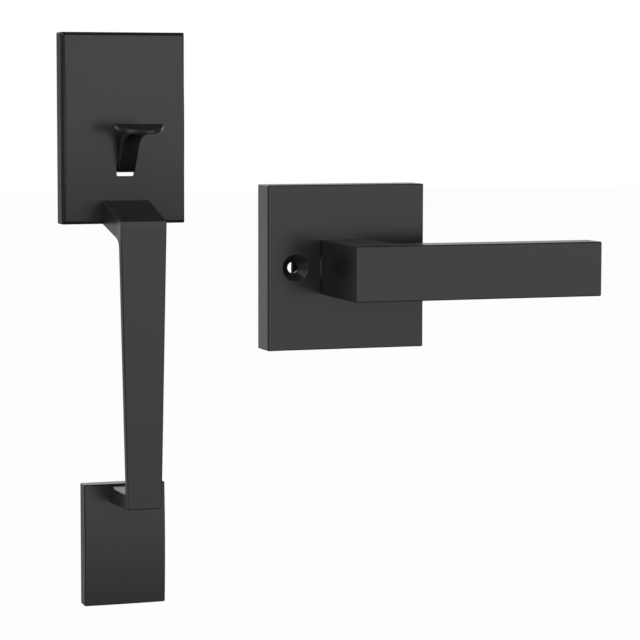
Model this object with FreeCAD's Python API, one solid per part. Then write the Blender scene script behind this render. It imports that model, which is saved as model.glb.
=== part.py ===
"""Entry door handleset: thumb-latch grip for outside, lever on a square rosette for inside.

Both halves stand side by side with their backs on one door face, the plane Y = 0.
X runs to the right, Y into the door and Z up. All sizes are in millimetres. The origin is
on the outside half's spindle axis, where that axis meets the door face.
"""
import FreeCAD, Part
import math
import os

from FreeCAD import Vector

os.makedirs("parts", exist_ok=True)

# Clearances
RUNNING_FIT = 0.05
SLIDE_FIT = 0.08
SEAT_GAP = 0.1
MOVING_GAP = 0.3
SPRING_GAP = 0.5

# Shared finish of the castings
EDGE_ROUND = 0.5
EDGE_EASE = 0.35

CROWN_RADIUS = 450.0

# Flat sides of the round wires, the small screws and holes, and the plain wide rounds
COIL_STEPS = 12
COIL_SIDES = 6
SMALL_SIDES = 12
WIDE_SIDES = 24

# Upper escutcheon, outside
ESC_WIDTH = 57.0
ESC_ABOVE = 40.0
ESC_BELOW = 45.7
ESC_BASE = 7.9
ESC_STEP = 1.0
ESC_FACE = 12.6
ESC_SIDE_WALL = 2.6
ESC_FACE_WALL = 2.4
SLOT_WIDTH = 8.6
SLOT_TOP = -19.3
SLOT_BOTTOM = -24.35
SLOT_CORNER = 0.7

# Thumb piece and its pivot
PIVOT_Y = -6.5
PIVOT_Z = -19.6
PIVOT_PIN_RADIUS = 1.5
BARREL_RADIUS = 2.8
BARREL_WIDTH = 15.8
NECK_WIDTH = 7.8
TAIL_END = 11.5
TAIL_THICK = 3.05
PAD_BACK_Y = -34.4
PAD_BACK_Z = -0.4
PAD_RADIUS = 11.15
PAD_THICK = 2.0
PAD_TILT = 14.0
THUMB_TRAVEL = 15.0
# Neck curves: share of the way from the plate to the pad, and share of the rise to it
NECK_BACK = [
    (0.0, 0.0), (0.01, 0.09), (0.03, 0.21), (0.06, 0.32), (0.12, 0.43), (0.19, 0.54),
    (0.29, 0.65), (0.41, 0.76), (0.56, 0.85), (0.75, 0.92), (1.0, 0.97),
]
NECK_FRONT = [
    (0.01, -0.14), (0.08, -0.06), (0.16, 0.04), (0.23, 0.16), (0.3, 0.27), (0.37, 0.38),
    (0.43, 0.47), (0.5, 0.56), (0.6, 0.63), (0.73, 0.68), (0.9, 0.72), (1.1, 0.77), (1.26, 0.81),
]
NECK_SMOOTHING = 0.08
LUG_THICK = 2.4
LUG_RADIUS = 3.3

# Mounting plate and its fasteners
PLATE_THICK = 1.6
PLATE_LIP = 0.8
BOLT_INSET = 3.6
BUSH_RADIUS = 2.75
BUSH_LENGTH = 4.0
BUSH_BORE = 1.65
BUSH_SPIGOT = 2.2
PLATE_SCREW_INSET = 4.2
PLATE_SCREW_RADIUS = 1.45
PLATE_SCREW_HEAD = 2.8
PLATE_SCREW_HEAD_DEPTH = 1.4
PLATE_SCREW_LENGTH = 6.5
BOSS_RADIUS = 3.4
WINDOW_LEFT = -6.0
WINDOW_RIGHT = 9.5
WINDOW_TOP = -16.5
WINDOW_BOTTOM = -27.5

# Latch rotor and spindle
JOURNAL_RADIUS = 6.95
ROTOR_HUB_RADIUS = 8.2
ROTOR_THICK = 2.5
ROTOR_END = 0.6
CRANK_RADIUS = 9.0
CRANK_PIN_RADIUS = 1.5
CRANK_BOSS_RADIUS = 2.6
CLIP_THICK = 0.8
CLIP_GROOVE_RADIUS = 6.0
CLIP_OUTER_RADIUS = 8.6
CLIP_MOUTH = 5.0
SPINDLE_SIDE = 7.6
SPINDLE_END = 50.0

# Lift bar, its guides and its spring
BAR_FRONT_Y = 8.0
BAR_THICK = 2.0
BAR_INNER_X = 5.9
BAR_OUTER_X = 12.2
BAR_TOP = 14.0
FOOT_LEFT = -4.0
FOOT_HEIGHT = 4.0
GUIDE_RADIUS = 1.45
GUIDE_UPPER_Z = 8.9
GUIDE_LOWER_Z = -7.6
GUIDE_SHOULDER_RADIUS = 2.4
GUIDE_HEAD_RADIUS = 2.6
GUIDE_HEAD_THICK = 0.9
PEG_SIDE = 1.7
PEG_HEIGHT = 3.0
TAB_BOTTOM = 22.6
TAB_THICK = 1.6
TAB_HALF_WIDTH = 2.0
SPRING_WIRE = 0.5
SPRING_MEAN_RADIUS = 1.6
SPRING_TURNS = 6.0

# Grip
GRIP_REACH = 42.6
GRIP_THICK = 4.2
GRIP_TOP = -42.7
GRIP_BOTTOM = -170.5
GRIP_TOP_HALF = 10.5
GRIP_BOTTOM_HALF = 7.75
UPPER_ARM_HALF = GRIP_TOP_HALF + 0.5
UPPER_ARM_TOP = -35.1
UPPER_ARM_UNDER = -45.6
UPPER_ARM_UNDER_FRONT = -52.4
LOWER_ARM_HALF = GRIP_BOTTOM_HALF - 0.95
LOWER_ARM_TOP = -164.95
LOWER_ARM_TOP_FRONT = -163.7
LOWER_ARM_UNDER = -172.8
UPPER_INNER_ROUND = 4.0
INNER_ROUND_REACH = 4.0
LOWER_INNER_ROUND = 2.5
GRIP_SCREW_RADIUS = 1.95
GRIP_SCREW_DEPTH = 10.4
GRIP_SCREW_HEAD = 3.4
GRIP_SCREW_HEAD_THICK = 2.4
UPPER_SCREW_Z = -39.8
LOWER_SCREW_Z = -168.7
SCREW_SEAT = 1.0

# Lower escutcheon
LOW_WIDTH = 37.8
LOW_TOP = -163.9
LOW_BOTTOM = -219.6
LOW_FACE = 8.3
LOW_SIDE_WALL = 2.4
LOW_FACE_WALL = 2.2
LOW_POST_Z = -196.0
LOW_POST_RADIUS = 4.0
LOW_POST_BORE = 2.5
LOW_POST_LENGTH = 24.0
LOW_POST_SPIGOT = 2.9
LOW_POST_SPIGOT_LENGTH = 4.0
LOW_BOSS_RADIUS = 5.6

# Rosette, inside
ROSE_X = 104.0
ROSE_Z = -67.0
ROSE_SIDE = 76.0
ROSE_THICK = 14.65
ROSE_SIDE_WALL = 2.4
ROSE_FACE_WALL = 2.6
BOLT_HOLE_RADIUS = 2.65
COUNTERSINK_RADIUS = 6.15
BOLT_BOSS_RADIUS = 5.2
BOLT_BOSS_LENGTH = 2.9

# Lever and its bush
LEVER_HUB_WIDTH = 24.5
LEVER_HEIGHT = 25.0
LEVER_LENGTH = 119.6
LEVER_FRONT = 62.0
LEVER_THICK = 15.1
LEVER_INNER_ROUND = 6.0
LEVER_TURN = 50.0
BUSH_FLANGE_RADIUS = 13.05
BUSH_FLANGE_THICK = 0.85
BUSH_BODY_RADIUS = 10.9
SHANK_RADIUS = 9.5
SHANK_SQUARE = 13.0
SHANK_END = 4.5
SOCKET_SIDE = 7.7
SOCKET_DEPTH = 27.5
SET_SCREW_RADIUS = 2.45
SET_SCREW_LENGTH = 6.0
SET_SCREW_FROM_HUB = 6.4
SET_SCREW_SUNK = 0.4
SET_SCREW_HEX = 1.45

# Spring cassette behind the rosette
CASSETTE_WIDTH = 44.0
CASSETTE_HEIGHT = 60.0
CASSETTE_BASE = 2.4
CASSETTE_HOLE_RADIUS = 10.6
CASSETTE_SCREW_INSET = 4.5
CASSETTE_SCREW_X = CASSETTE_WIDTH / 2 - CASSETTE_SCREW_INSET
CASSETTE_SCREW_Z = CASSETTE_HEIGHT / 2 - CASSETTE_SCREW_INSET
CAM_THICK = 2.2
RING_THICK = 0.8
RING_OUTER_RADIUS = 9.8
RING_GROOVE_RADIUS = 6.5
RING_MOUTH = 5.6
STOP_HALF_WIDTH = 2.4
LUG_DEPTH = 1.6
CAM_HUB_RADIUS = 11.3
TORSION_WIRE = 1.2
TORSION_PITCH = 1.5
TORSION_RADIUS = CAM_HUB_RADIUS + MOVING_GAP + TORSION_WIRE / 2
STOP_INNER_RADIUS = TORSION_RADIUS + TORSION_WIRE / 2 + SPRING_GAP
STOP_OUTER_RADIUS = STOP_INNER_RADIUS + LUG_DEPTH
FINGER_INNER_RADIUS = STOP_OUTER_RADIUS + MOVING_GAP
FINGER_OUTER_RADIUS = FINGER_INNER_RADIUS + LUG_DEPTH
DRUM_WALL = 1.8
DRUM_GAP = 0.4
DRUM_INNER_RADIUS = FINGER_OUTER_RADIUS + 2 * MOVING_GAP
BOLT_SPACING = 2 * (DRUM_INNER_RADIUS + DRUM_WALL + DRUM_GAP + BOLT_BOSS_RADIUS)
# The outside plate takes the same spacing unless it is too narrow for it
PLATE_BOLT_SPACING = min(BOLT_SPACING, ESC_WIDTH - 2 * BOLT_INSET)


def box(x0, x1, y0, y1, z0, z1):
    """A block between two corners."""
    return Part.makeBox(x1 - x0, y1 - y0, z1 - z0, Vector(x0, y0, z0))


def rod(radius, start, end):
    """A round bar from one point to another."""
    axis = end.sub(start)
    return Part.makeCylinder(radius, axis.Length, start, axis)


def rod_y(radius, x, z, y0, y1):
    """A round bar along the door's depth."""
    return rod(radius, Vector(x, y0, z), Vector(x, y1, z))


def cone_y(r0, r1, x, z, y0, y1):
    """A cone along the door's depth, radius r0 at y0 and r1 at y1."""
    return Part.makeCone(r0, r1, y1 - y0, Vector(x, y0, z), Vector(0, 1, 0))


def crown_ball(x, z, face, inset=0.0):
    """The large ball whose front cap gives a plate its crowned face."""
    return Part.makeSphere(CROWN_RADIUS - inset, Vector(x, CROWN_RADIUS - face, z))


def crown_y(x, z, face, centre_x, centre_z):
    """Depth of the crowned face at one place on the plate."""
    run = math.hypot(x - centre_x, z - centre_z)
    return CROWN_RADIUS - face - math.sqrt(CROWN_RADIUS ** 2 - run ** 2)


def rounded(shape, radius, chosen):
    """Round the edges that the test picks."""
    edges = [edge for edge in shape.Edges if chosen(edge)]
    return shape.makeFillet(radius, edges)


def eased(shape, width, chosen):
    """Break the edges that the test picks with a small flat."""
    edges = [edge for edge in shape.Edges if chosen(edge)]
    return shape.makeChamfer(width, edges)


def middle(edge):
    """Point halfway along an edge."""
    first, last = edge.ParameterRange
    return edge.valueAt((first + last) / 2)


def loft(first, second):
    """A ruled solid between two closed four-cornered outlines."""
    wires = [Part.makePolygon(points + points[:1]) for points in (first, second)]
    return Part.makeLoft(wires, True, True)


def square_y(side, x, z, y0, y1):
    """A square bar along the door's depth."""
    half = side / 2
    return box(x - half, x + half, y0, y1, z - half, z + half)


def coil(radius, wire, pitch, turns):
    """A coil about +Z that starts on the X axis at Z = 0, its wire drawn with six sides."""
    count = math.ceil(turns * COIL_STEPS)
    sections = []
    for step in range(count + 1):
        share = step / count
        turn = 2 * math.pi * turns * share
        outward = Vector(math.cos(turn), math.sin(turn), 0)
        middle_point = outward * radius + Vector(0, 0, pitch * turns * share)
        corners = []
        for side in range(COIL_SIDES + 1):
            angle = 2 * math.pi * side / COIL_SIDES
            offset = outward * math.cos(angle) + Vector(0, 0, math.sin(angle))
            corners.append(middle_point + offset * (wire / 2))
        sections.append(Part.makePolygon(corners))
    return Part.makeLoft(sections, True, True)


def many_sided(radius, x, z, y0, y1, end_radius=None, sides=SMALL_SIDES):
    """A bar or cone along the door's depth, with flat sides inside its circle."""
    rings = []
    for y, r in ((y0, radius), (y1, radius if end_radius is None else end_radius)):
        turns = [2 * math.pi * side / sides for side in range(sides)]
        rings.append([Vector(x + r * math.cos(t), y, z + r * math.sin(t)) for t in turns])
    near, far = rings
    outlines = [near, far[::-1]]
    for side in range(sides):
        outlines.append([near[side], near[side - 1], far[side - 1], far[side]])
    faces = [Part.Face(Part.makePolygon(points + points[:1])) for points in outlines]
    solid = Part.makeSolid(Part.makeShell(faces))
    if solid.Volume < 0:
        solid.reverse()
    return solid


def ring_clip(outer, inner, mouth, thick):
    """An open retaining ring about +Y with its mouth downwards."""
    ring = many_sided(outer, 0, 0, 0, thick, sides=WIDE_SIDES)
    ring = ring.cut(many_sided(inner, 0, 0, 0, thick, sides=WIDE_SIDES))
    return ring.cut(box(-mouth / 2, mouth / 2, 0, thick, -outer, 0))


def moved(shape, x, y, z):
    """A copy of the shape at another place."""
    copy = shape.copy()
    copy.translate(Vector(x, y, z))
    return copy


def write(name, shape):
    """Save one node."""
    shape.exportStep("parts/" + name + ".step")


# Places that several pieces share
ESC_HALF = ESC_WIDTH / 2
ESC_MID_Z = (ESC_ABOVE - ESC_BELOW) / 2
CAVITY_HALF = ESC_HALF - ESC_SIDE_WALL
CAVITY_TOP = ESC_ABOVE - ESC_SIDE_WALL
CAVITY_BOTTOM = -ESC_BELOW + ESC_SIDE_WALL
PLATE_SCREW_X = CAVITY_HALF - PLATE_SCREW_INSET
PLATE_SCREW_PLACES = [
    (side * PLATE_SCREW_X, z)
    for side in (-1, 1)
    for z in (CAVITY_TOP - PLATE_SCREW_INSET, CAVITY_BOTTOM + PLATE_SCREW_INSET)
]
BOLT_PLACES = [(-PLATE_BOLT_SPACING / 2, 0.0), (PLATE_BOLT_SPACING / 2, 0.0)]
LUG_INNER_X = BARREL_WIDTH / 2 + MOVING_GAP
LUG_OUTER_X = LUG_INNER_X + LUG_THICK
ARM_FROM_PIVOT = BAR_FRONT_Y + BAR_THICK - PIVOT_Y
LIFT = ARM_FROM_PIVOT * math.tan(math.radians(THUMB_TRAVEL))
CRANK_SWING = math.asin(LIFT / 2 / CRANK_RADIUS)
CRANK_X = CRANK_RADIUS * math.cos(CRANK_SWING)
CRANK_Z = -LIFT / 2
BAR_BOTTOM = PIVOT_Z + SEAT_GAP
LOW_MID_Z = (LOW_TOP + LOW_BOTTOM) / 2
ROSE_HALF = ROSE_SIDE / 2
CASSETTE_SCREWS = [
    (ROSE_X + sx * CASSETTE_SCREW_X, ROSE_Z + sz * CASSETTE_SCREW_Z)
    for sx in (-1, 1)
    for sz in (-1, 1)
]
HUB_BACK = ROSE_THICK + BUSH_FLANGE_THICK + SEAT_GAP
HUB_LEFT = ROSE_X - LEVER_HUB_WIDTH / 2
HUB_RIGHT = ROSE_X + LEVER_HUB_WIDTH / 2
BUSH_END = -(ROSE_THICK - ROSE_FACE_WALL)
CAM_FRONT = BUSH_END + MOVING_GAP
CAM_BACK = CAM_FRONT + CAM_THICK
RING_FRONT = CAM_BACK + SEAT_GAP


def crowned_tier(half, bottom, top, back, face, centre_z):
    """A plate whose front is a shallow dome."""
    block = box(-half, half, -face - 1, back, bottom, top)
    return block.common(crown_ball(0, centre_z, face))


def upper_outside():
    """Outer form of the upper escutcheon: a base tier and a crowned front tier."""
    base = box(-ESC_HALF, ESC_HALF, -ESC_BASE, 0, -ESC_BELOW, ESC_ABOVE)
    base = eased(base, EDGE_EASE, lambda edge: middle(edge).y < -ESC_BASE / 2)
    front = crowned_tier(
        ESC_HALF - ESC_STEP,
        -ESC_BELOW + ESC_STEP,
        ESC_ABOVE - ESC_STEP,
        -ESC_BASE + ESC_STEP,
        ESC_FACE,
        ESC_MID_Z,
    )
    return base.fuse(front)


def screw_seat(z, face, wall, centre_z):
    """Depth of the flat seat for a grip screw's head, inside a crowned cavity."""
    return crown_y(0, z, face, 0, centre_z) + wall + SCREW_SEAT


UPPER_SEAT_Y = screw_seat(UPPER_SCREW_Z, ESC_FACE, ESC_FACE_WALL, ESC_MID_Z)
LOWER_SEAT_Y = screw_seat(LOWER_SCREW_Z, LOW_FACE, LOW_FACE_WALL, LOW_MID_Z)


def grip_screw_room(z, seat, depth):
    """Clearance for a grip screw: its hole and the pocket for its head."""
    hole = many_sided(GRIP_SCREW_RADIUS + SEAT_GAP, 0, z, -GRIP_REACH, seat)
    return hole.fuse(many_sided(GRIP_SCREW_HEAD + MOVING_GAP, 0, z, seat, depth))


def make_upper_escutcheon(outside):
    """Open-backed casting with the thumb slot, pivot lugs and screw bosses."""
    room = box(-CAVITY_HALF, CAVITY_HALF, -ESC_FACE, 0, CAVITY_BOTTOM, CAVITY_TOP)
    room = room.common(crown_ball(0, ESC_MID_Z, ESC_FACE, ESC_FACE_WALL))
    inside_fill = []
    for x, z in PLATE_SCREW_PLACES:
        inside_fill.append(many_sided(BOSS_RADIUS, x, z, -ESC_FACE, 0))
    for side in (-1, 1):
        x0, x1 = sorted((side * LUG_INNER_X, side * LUG_OUTER_X))
        low, high = PIVOT_Z - LUG_RADIUS, PIVOT_Z + LUG_RADIUS
        inside_fill.append(box(x0, x1, -ESC_FACE, PIVOT_Y + LUG_RADIUS, low, high))
    seat = many_sided(GRIP_SCREW_HEAD + SCREW_SEAT, 0, UPPER_SCREW_Z, -ESC_FACE, UPPER_SEAT_Y)
    inside_fill.append(seat)
    for piece in inside_fill:
        room = room.cut(piece)
    body = outside.cut(room)
    lip = PLATE_LIP
    rebate = box(
        -ESC_HALF + lip, ESC_HALF - lip, -PLATE_THICK, 0, -ESC_BELOW + lip, ESC_ABOVE - lip
    )
    body = body.cut(rebate)
    for x, z in PLATE_SCREW_PLACES:
        hole_end = -PLATE_THICK - PLATE_SCREW_LENGTH
        body = body.cut(many_sided(PLATE_SCREW_RADIUS + RUNNING_FIT, x, z, hole_end, 0))
    half = SLOT_WIDTH / 2
    slot = box(-half, half, -ESC_FACE - 1, 0, SLOT_BOTTOM, SLOT_TOP)
    slot = rounded(
        slot, SLOT_CORNER, lambda edge: abs(edge.tangentAt(edge.FirstParameter).y) > 0.9
    )
    body = body.cut(slot.common(box(-half, half, -ESC_FACE - 1, -ESC_BASE, SLOT_BOTTOM, SLOT_TOP)))
    body = body.cut(grip_screw_room(UPPER_SCREW_Z, UPPER_SEAT_Y, -PLATE_THICK))
    pivot = rod(
        PIVOT_PIN_RADIUS + RUNNING_FIT / 2,
        Vector(-LUG_OUTER_X, PIVOT_Y, PIVOT_Z),
        Vector(LUG_OUTER_X, PIVOT_Y, PIVOT_Z),
    )
    return body.cut(pivot)


def make_thumb_pivot_pin():
    """Headless pin held in the two lugs."""
    return rod(
        PIVOT_PIN_RADIUS,
        Vector(-LUG_OUTER_X, PIVOT_Y, PIVOT_Z),
        Vector(LUG_OUTER_X, PIVOT_Y, PIVOT_Z),
    )


def thumb_profile():
    """Side outline of the neck and tail, from the tail's tip to under the pad."""
    under = PIVOT_Z - TAIL_THICK
    root_y = -ESC_FACE - SEAT_GAP
    reach = PAD_BACK_Y - root_y
    rise = PAD_BACK_Z - PIVOT_Z
    edges = []
    lines = []
    for points in (NECK_BACK, NECK_FRONT):
        places = [Vector(0, root_y + u * reach, PIVOT_Z + v * rise) for u, v in points]
        curve = Part.BSplineCurve()
        curve.approximate(places, DegMax=3, Tolerance=NECK_SMOOTHING)
        edges.append(curve.toShape())
        lines.append((curve.value(curve.FirstParameter), curve.value(curve.LastParameter)))
    (back_root, back_top), (front_root, front_top) = lines
    heel = Vector(0, front_root.y, under)
    corners = [front_root, heel, Vector(0, TAIL_END, under), Vector(0, TAIL_END, PIVOT_Z)]
    corners.append(back_root)
    edges.append(Part.makeLine(back_top, front_top))
    for start, end in zip(corners, corners[1:]):
        edges.append(Part.makeLine(start, end))
    return Part.Face(Part.Wire(Part.__sortEdges__(edges)))


def make_thumbpiece():
    """One casting: half-moon pad, curved neck, pivot barrel and lifting tail."""
    neck = thumb_profile().extrude(Vector(NECK_WIDTH, 0, 0))
    neck.translate(Vector(-NECK_WIDTH / 2, 0, 0))
    barrel = rod(
        BARREL_RADIUS,
        Vector(-BARREL_WIDTH / 2, PIVOT_Y, PIVOT_Z),
        Vector(BARREL_WIDTH / 2, PIVOT_Y, PIVOT_Z),
    )
    pad = Part.makeCylinder(PAD_RADIUS, PAD_THICK, Vector(0, 0, -PAD_THICK))
    pad = pad.cut(box(-PAD_RADIUS, PAD_RADIUS, 0, PAD_RADIUS, -PAD_THICK, 0))
    pad = eased(pad, EDGE_EASE, lambda edge: middle(edge).y < -PAD_RADIUS / 2)
    pad.rotate(Vector(0, 0, 0), Vector(1, 0, 0), PAD_TILT)
    pad.translate(Vector(0, PAD_BACK_Y, PAD_BACK_Z))
    body = neck.fuse([barrel, pad])
    bore = rod(
        PIVOT_PIN_RADIUS + RUNNING_FIT,
        Vector(-BARREL_WIDTH, PIVOT_Y, PIVOT_Z),
        Vector(BARREL_WIDTH, PIVOT_Y, PIVOT_Z),
    )
    return body.cut(bore).removeSplitter()


def countersunk_screw(head, radius, head_depth, length):
    """A flat-head screw about -Y with its head's face at Y = 0."""
    cone = many_sided(radius, 0, 0, -head_depth, 0, head)
    return cone.fuse(many_sided(radius, 0, 0, -length, -head_depth))


def make_mounting_plate():
    """Stamped back plate with the bearing for the rotor and a bent spring tab."""
    edge = PLATE_LIP + SEAT_GAP
    plate = box(
        -ESC_HALF + edge, ESC_HALF - edge, -PLATE_THICK, 0, -ESC_BELOW + edge, ESC_ABOVE - edge
    )
    cuts = [
        box(WINDOW_LEFT, WINDOW_RIGHT, -PLATE_THICK, 0, WINDOW_BOTTOM, WINDOW_TOP),
        rod_y(JOURNAL_RADIUS + RUNNING_FIT, 0, 0, -PLATE_THICK, 0),
    ]
    for z in (GUIDE_UPPER_Z, GUIDE_LOWER_Z):
        cuts.append(many_sided(GUIDE_RADIUS + RUNNING_FIT, CRANK_RADIUS, z, -PLATE_THICK, 0))
    for x, z in BOLT_PLACES:
        cuts.append(many_sided(BUSH_SPIGOT + RUNNING_FIT, x, z, -PLATE_THICK, 0))
    for x, z in PLATE_SCREW_PLACES:
        hole, sink = PLATE_SCREW_RADIUS + SEAT_GAP, PLATE_SCREW_HEAD + SEAT_GAP
        cuts.append(many_sided(hole, x, z, -PLATE_THICK, 0))
        cuts.append(many_sided(hole, x, z, -PLATE_SCREW_HEAD_DEPTH, 0, sink))
    tab_y = BAR_FRONT_Y + BAR_THICK + SPRING_MEAN_RADIUS + SPRING_WIRE
    tab_top = TAB_BOTTOM + TAB_THICK
    left, right = CRANK_RADIUS - TAB_HALF_WIDTH, CRANK_RADIUS + TAB_HALF_WIDTH
    cuts.append(box(left, right, -PLATE_THICK, 0, tab_top, tab_top + tab_y))
    for piece in cuts:
        plate = plate.cut(piece)
    tab = box(left, right, -PLATE_THICK, tab_y, TAB_BOTTOM, tab_top)
    return plate.fuse(tab).removeSplitter()


def make_bolt_bushes():
    """Two threaded bushes that take the through bolts, riveted into the plate."""
    bushes = []
    for x, z in BOLT_PLACES:
        bush = many_sided(BUSH_RADIUS, x, z, 0, BUSH_LENGTH)
        bush = bush.fuse(many_sided(BUSH_SPIGOT, x, z, -PLATE_THICK, 0))
        bushes.append(bush.cut(rod_y(BUSH_BORE, x, z, -PLATE_THICK, BUSH_LENGTH)))
    return Part.makeCompound(bushes)


def make_plate_screws():
    """Four countersunk screws that hold the plate in the casting."""
    screw = countersunk_screw(
        PLATE_SCREW_HEAD, PLATE_SCREW_RADIUS, PLATE_SCREW_HEAD_DEPTH, PLATE_SCREW_LENGTH
    )
    return Part.makeCompound([moved(screw, x, 0, z) for x, z in PLATE_SCREW_PLACES])


def make_latch_rotor():
    """Turned hub with a crank arm and its pin, in the plate's bearing."""
    front = -PLATE_THICK - SEAT_GAP - CLIP_THICK - ROTOR_END
    groove_back = -PLATE_THICK - SEAT_GAP
    journal = rod_y(JOURNAL_RADIUS, 0, 0, front, MOVING_GAP)
    groove = rod_y(JOURNAL_RADIUS, 0, 0, groove_back - CLIP_THICK, groove_back)
    core = many_sided(
        CLIP_GROOVE_RADIUS, 0, 0, groove_back - CLIP_THICK, groove_back, sides=WIDE_SIDES
    )
    groove = groove.cut(core)
    hub_back = MOVING_GAP + ROTOR_THICK
    hub = many_sided(ROTOR_HUB_RADIUS, 0, 0, MOVING_GAP, hub_back, sides=WIDE_SIDES)
    boss = many_sided(CRANK_BOSS_RADIUS, CRANK_X, CRANK_Z, MOVING_GAP, hub_back)
    pin_end = BAR_FRONT_Y + BAR_THICK + ROTOR_END
    pin = rod_y(CRANK_PIN_RADIUS, CRANK_X, CRANK_Z, MOVING_GAP, pin_end)
    body = journal.cut(groove).fuse([hub, boss, pin])
    return body.cut(square_y(SPINDLE_SIDE + 2 * RUNNING_FIT, 0, 0, front, ROTOR_THICK + 1))


def make_rotor_clip():
    """Open ring that keeps the rotor in the plate."""
    clip = ring_clip(
        CLIP_OUTER_RADIUS, CLIP_GROOVE_RADIUS + RUNNING_FIT, CLIP_MOUTH, CLIP_THICK - RUNNING_FIT
    )
    return moved(clip, 0, -PLATE_THICK - SEAT_GAP - CLIP_THICK, 0)


def make_spindle():
    """Square bar that carries the rotor's turn through the door."""
    bar = square_y(SPINDLE_SIDE, 0, 0, -PLATE_THICK - CLIP_THICK, SPINDLE_END)
    return rounded(
        bar, EDGE_ROUND, lambda edge: abs(edge.tangentAt(edge.FirstParameter).y) > 0.9
    )


def make_lift_bar():
    """Flat stamped bar: a foot over the thumb tail, two guide slots and a crank slot."""
    y0, y1 = BAR_FRONT_Y, BAR_FRONT_Y + BAR_THICK
    bar = box(BAR_INNER_X, BAR_OUTER_X, y0, y1, BAR_BOTTOM, BAR_TOP)
    bar = bar.fuse(box(FOOT_LEFT, BAR_OUTER_X, y0, y1, BAR_BOTTOM, BAR_BOTTOM + FOOT_HEIGHT))
    mid_y = (y0 + y1) / 2
    peg = PEG_SIDE / 2
    bar = bar.fuse(box(
        CRANK_RADIUS - peg, CRANK_RADIUS + peg, mid_y - peg, mid_y + peg, BAR_TOP,
        BAR_TOP + PEG_HEIGHT,
    ))
    reach = GUIDE_RADIUS + RUNNING_FIT
    for z in (GUIDE_UPPER_Z, GUIDE_LOWER_Z):
        bar = bar.cut(rod_y(reach, CRANK_RADIUS, z, y0, y1))
        bar = bar.cut(rod_y(reach, CRANK_RADIUS, z - LIFT, y0, y1))
        bar = bar.cut(box(CRANK_RADIUS - reach, CRANK_RADIUS + reach, y0, y1, z - LIFT, z))
    slot = CRANK_PIN_RADIUS + SLIDE_FIT
    bar = bar.cut(rod_y(slot, CRANK_X - SLIDE_FIT, CRANK_Z, y0, y1))
    bar = bar.cut(rod_y(slot, CRANK_RADIUS + SLIDE_FIT, CRANK_Z, y0, y1))
    bar = bar.cut(box(CRANK_X, CRANK_RADIUS, y0, y1, CRANK_Z - slot, CRANK_Z + slot))
    return bar.removeSplitter()


def make_guide_pins():
    """Two shouldered rivets on which the lift bar slides."""
    pins = []
    shoulder_end = BAR_FRONT_Y - MOVING_GAP
    head_start = BAR_FRONT_Y + BAR_THICK + MOVING_GAP
    for z in (GUIDE_UPPER_Z, GUIDE_LOWER_Z):
        pin = many_sided(GUIDE_RADIUS, CRANK_RADIUS, z, -PLATE_THICK, head_start)
        pin = pin.fuse(many_sided(GUIDE_SHOULDER_RADIUS, CRANK_RADIUS, z, 0, shoulder_end))
        head_end = head_start + GUIDE_HEAD_THICK
        head = many_sided(GUIDE_HEAD_RADIUS, CRANK_RADIUS, z, head_start, head_end)
        pins.append(pin.fuse(head))
    return Part.makeCompound(pins)


def make_lift_spring():
    """Compression coil between the bar's top and the plate's tab."""
    room = TAB_BOTTOM - BAR_TOP - 2 * SEAT_GAP - SPRING_WIRE
    spring = coil(SPRING_MEAN_RADIUS, SPRING_WIRE, room / SPRING_TURNS, SPRING_TURNS)
    base = BAR_TOP + SEAT_GAP + SPRING_WIRE / 2
    return moved(spring, CRANK_RADIUS, BAR_FRONT_Y + BAR_THICK / 2, base)


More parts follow.
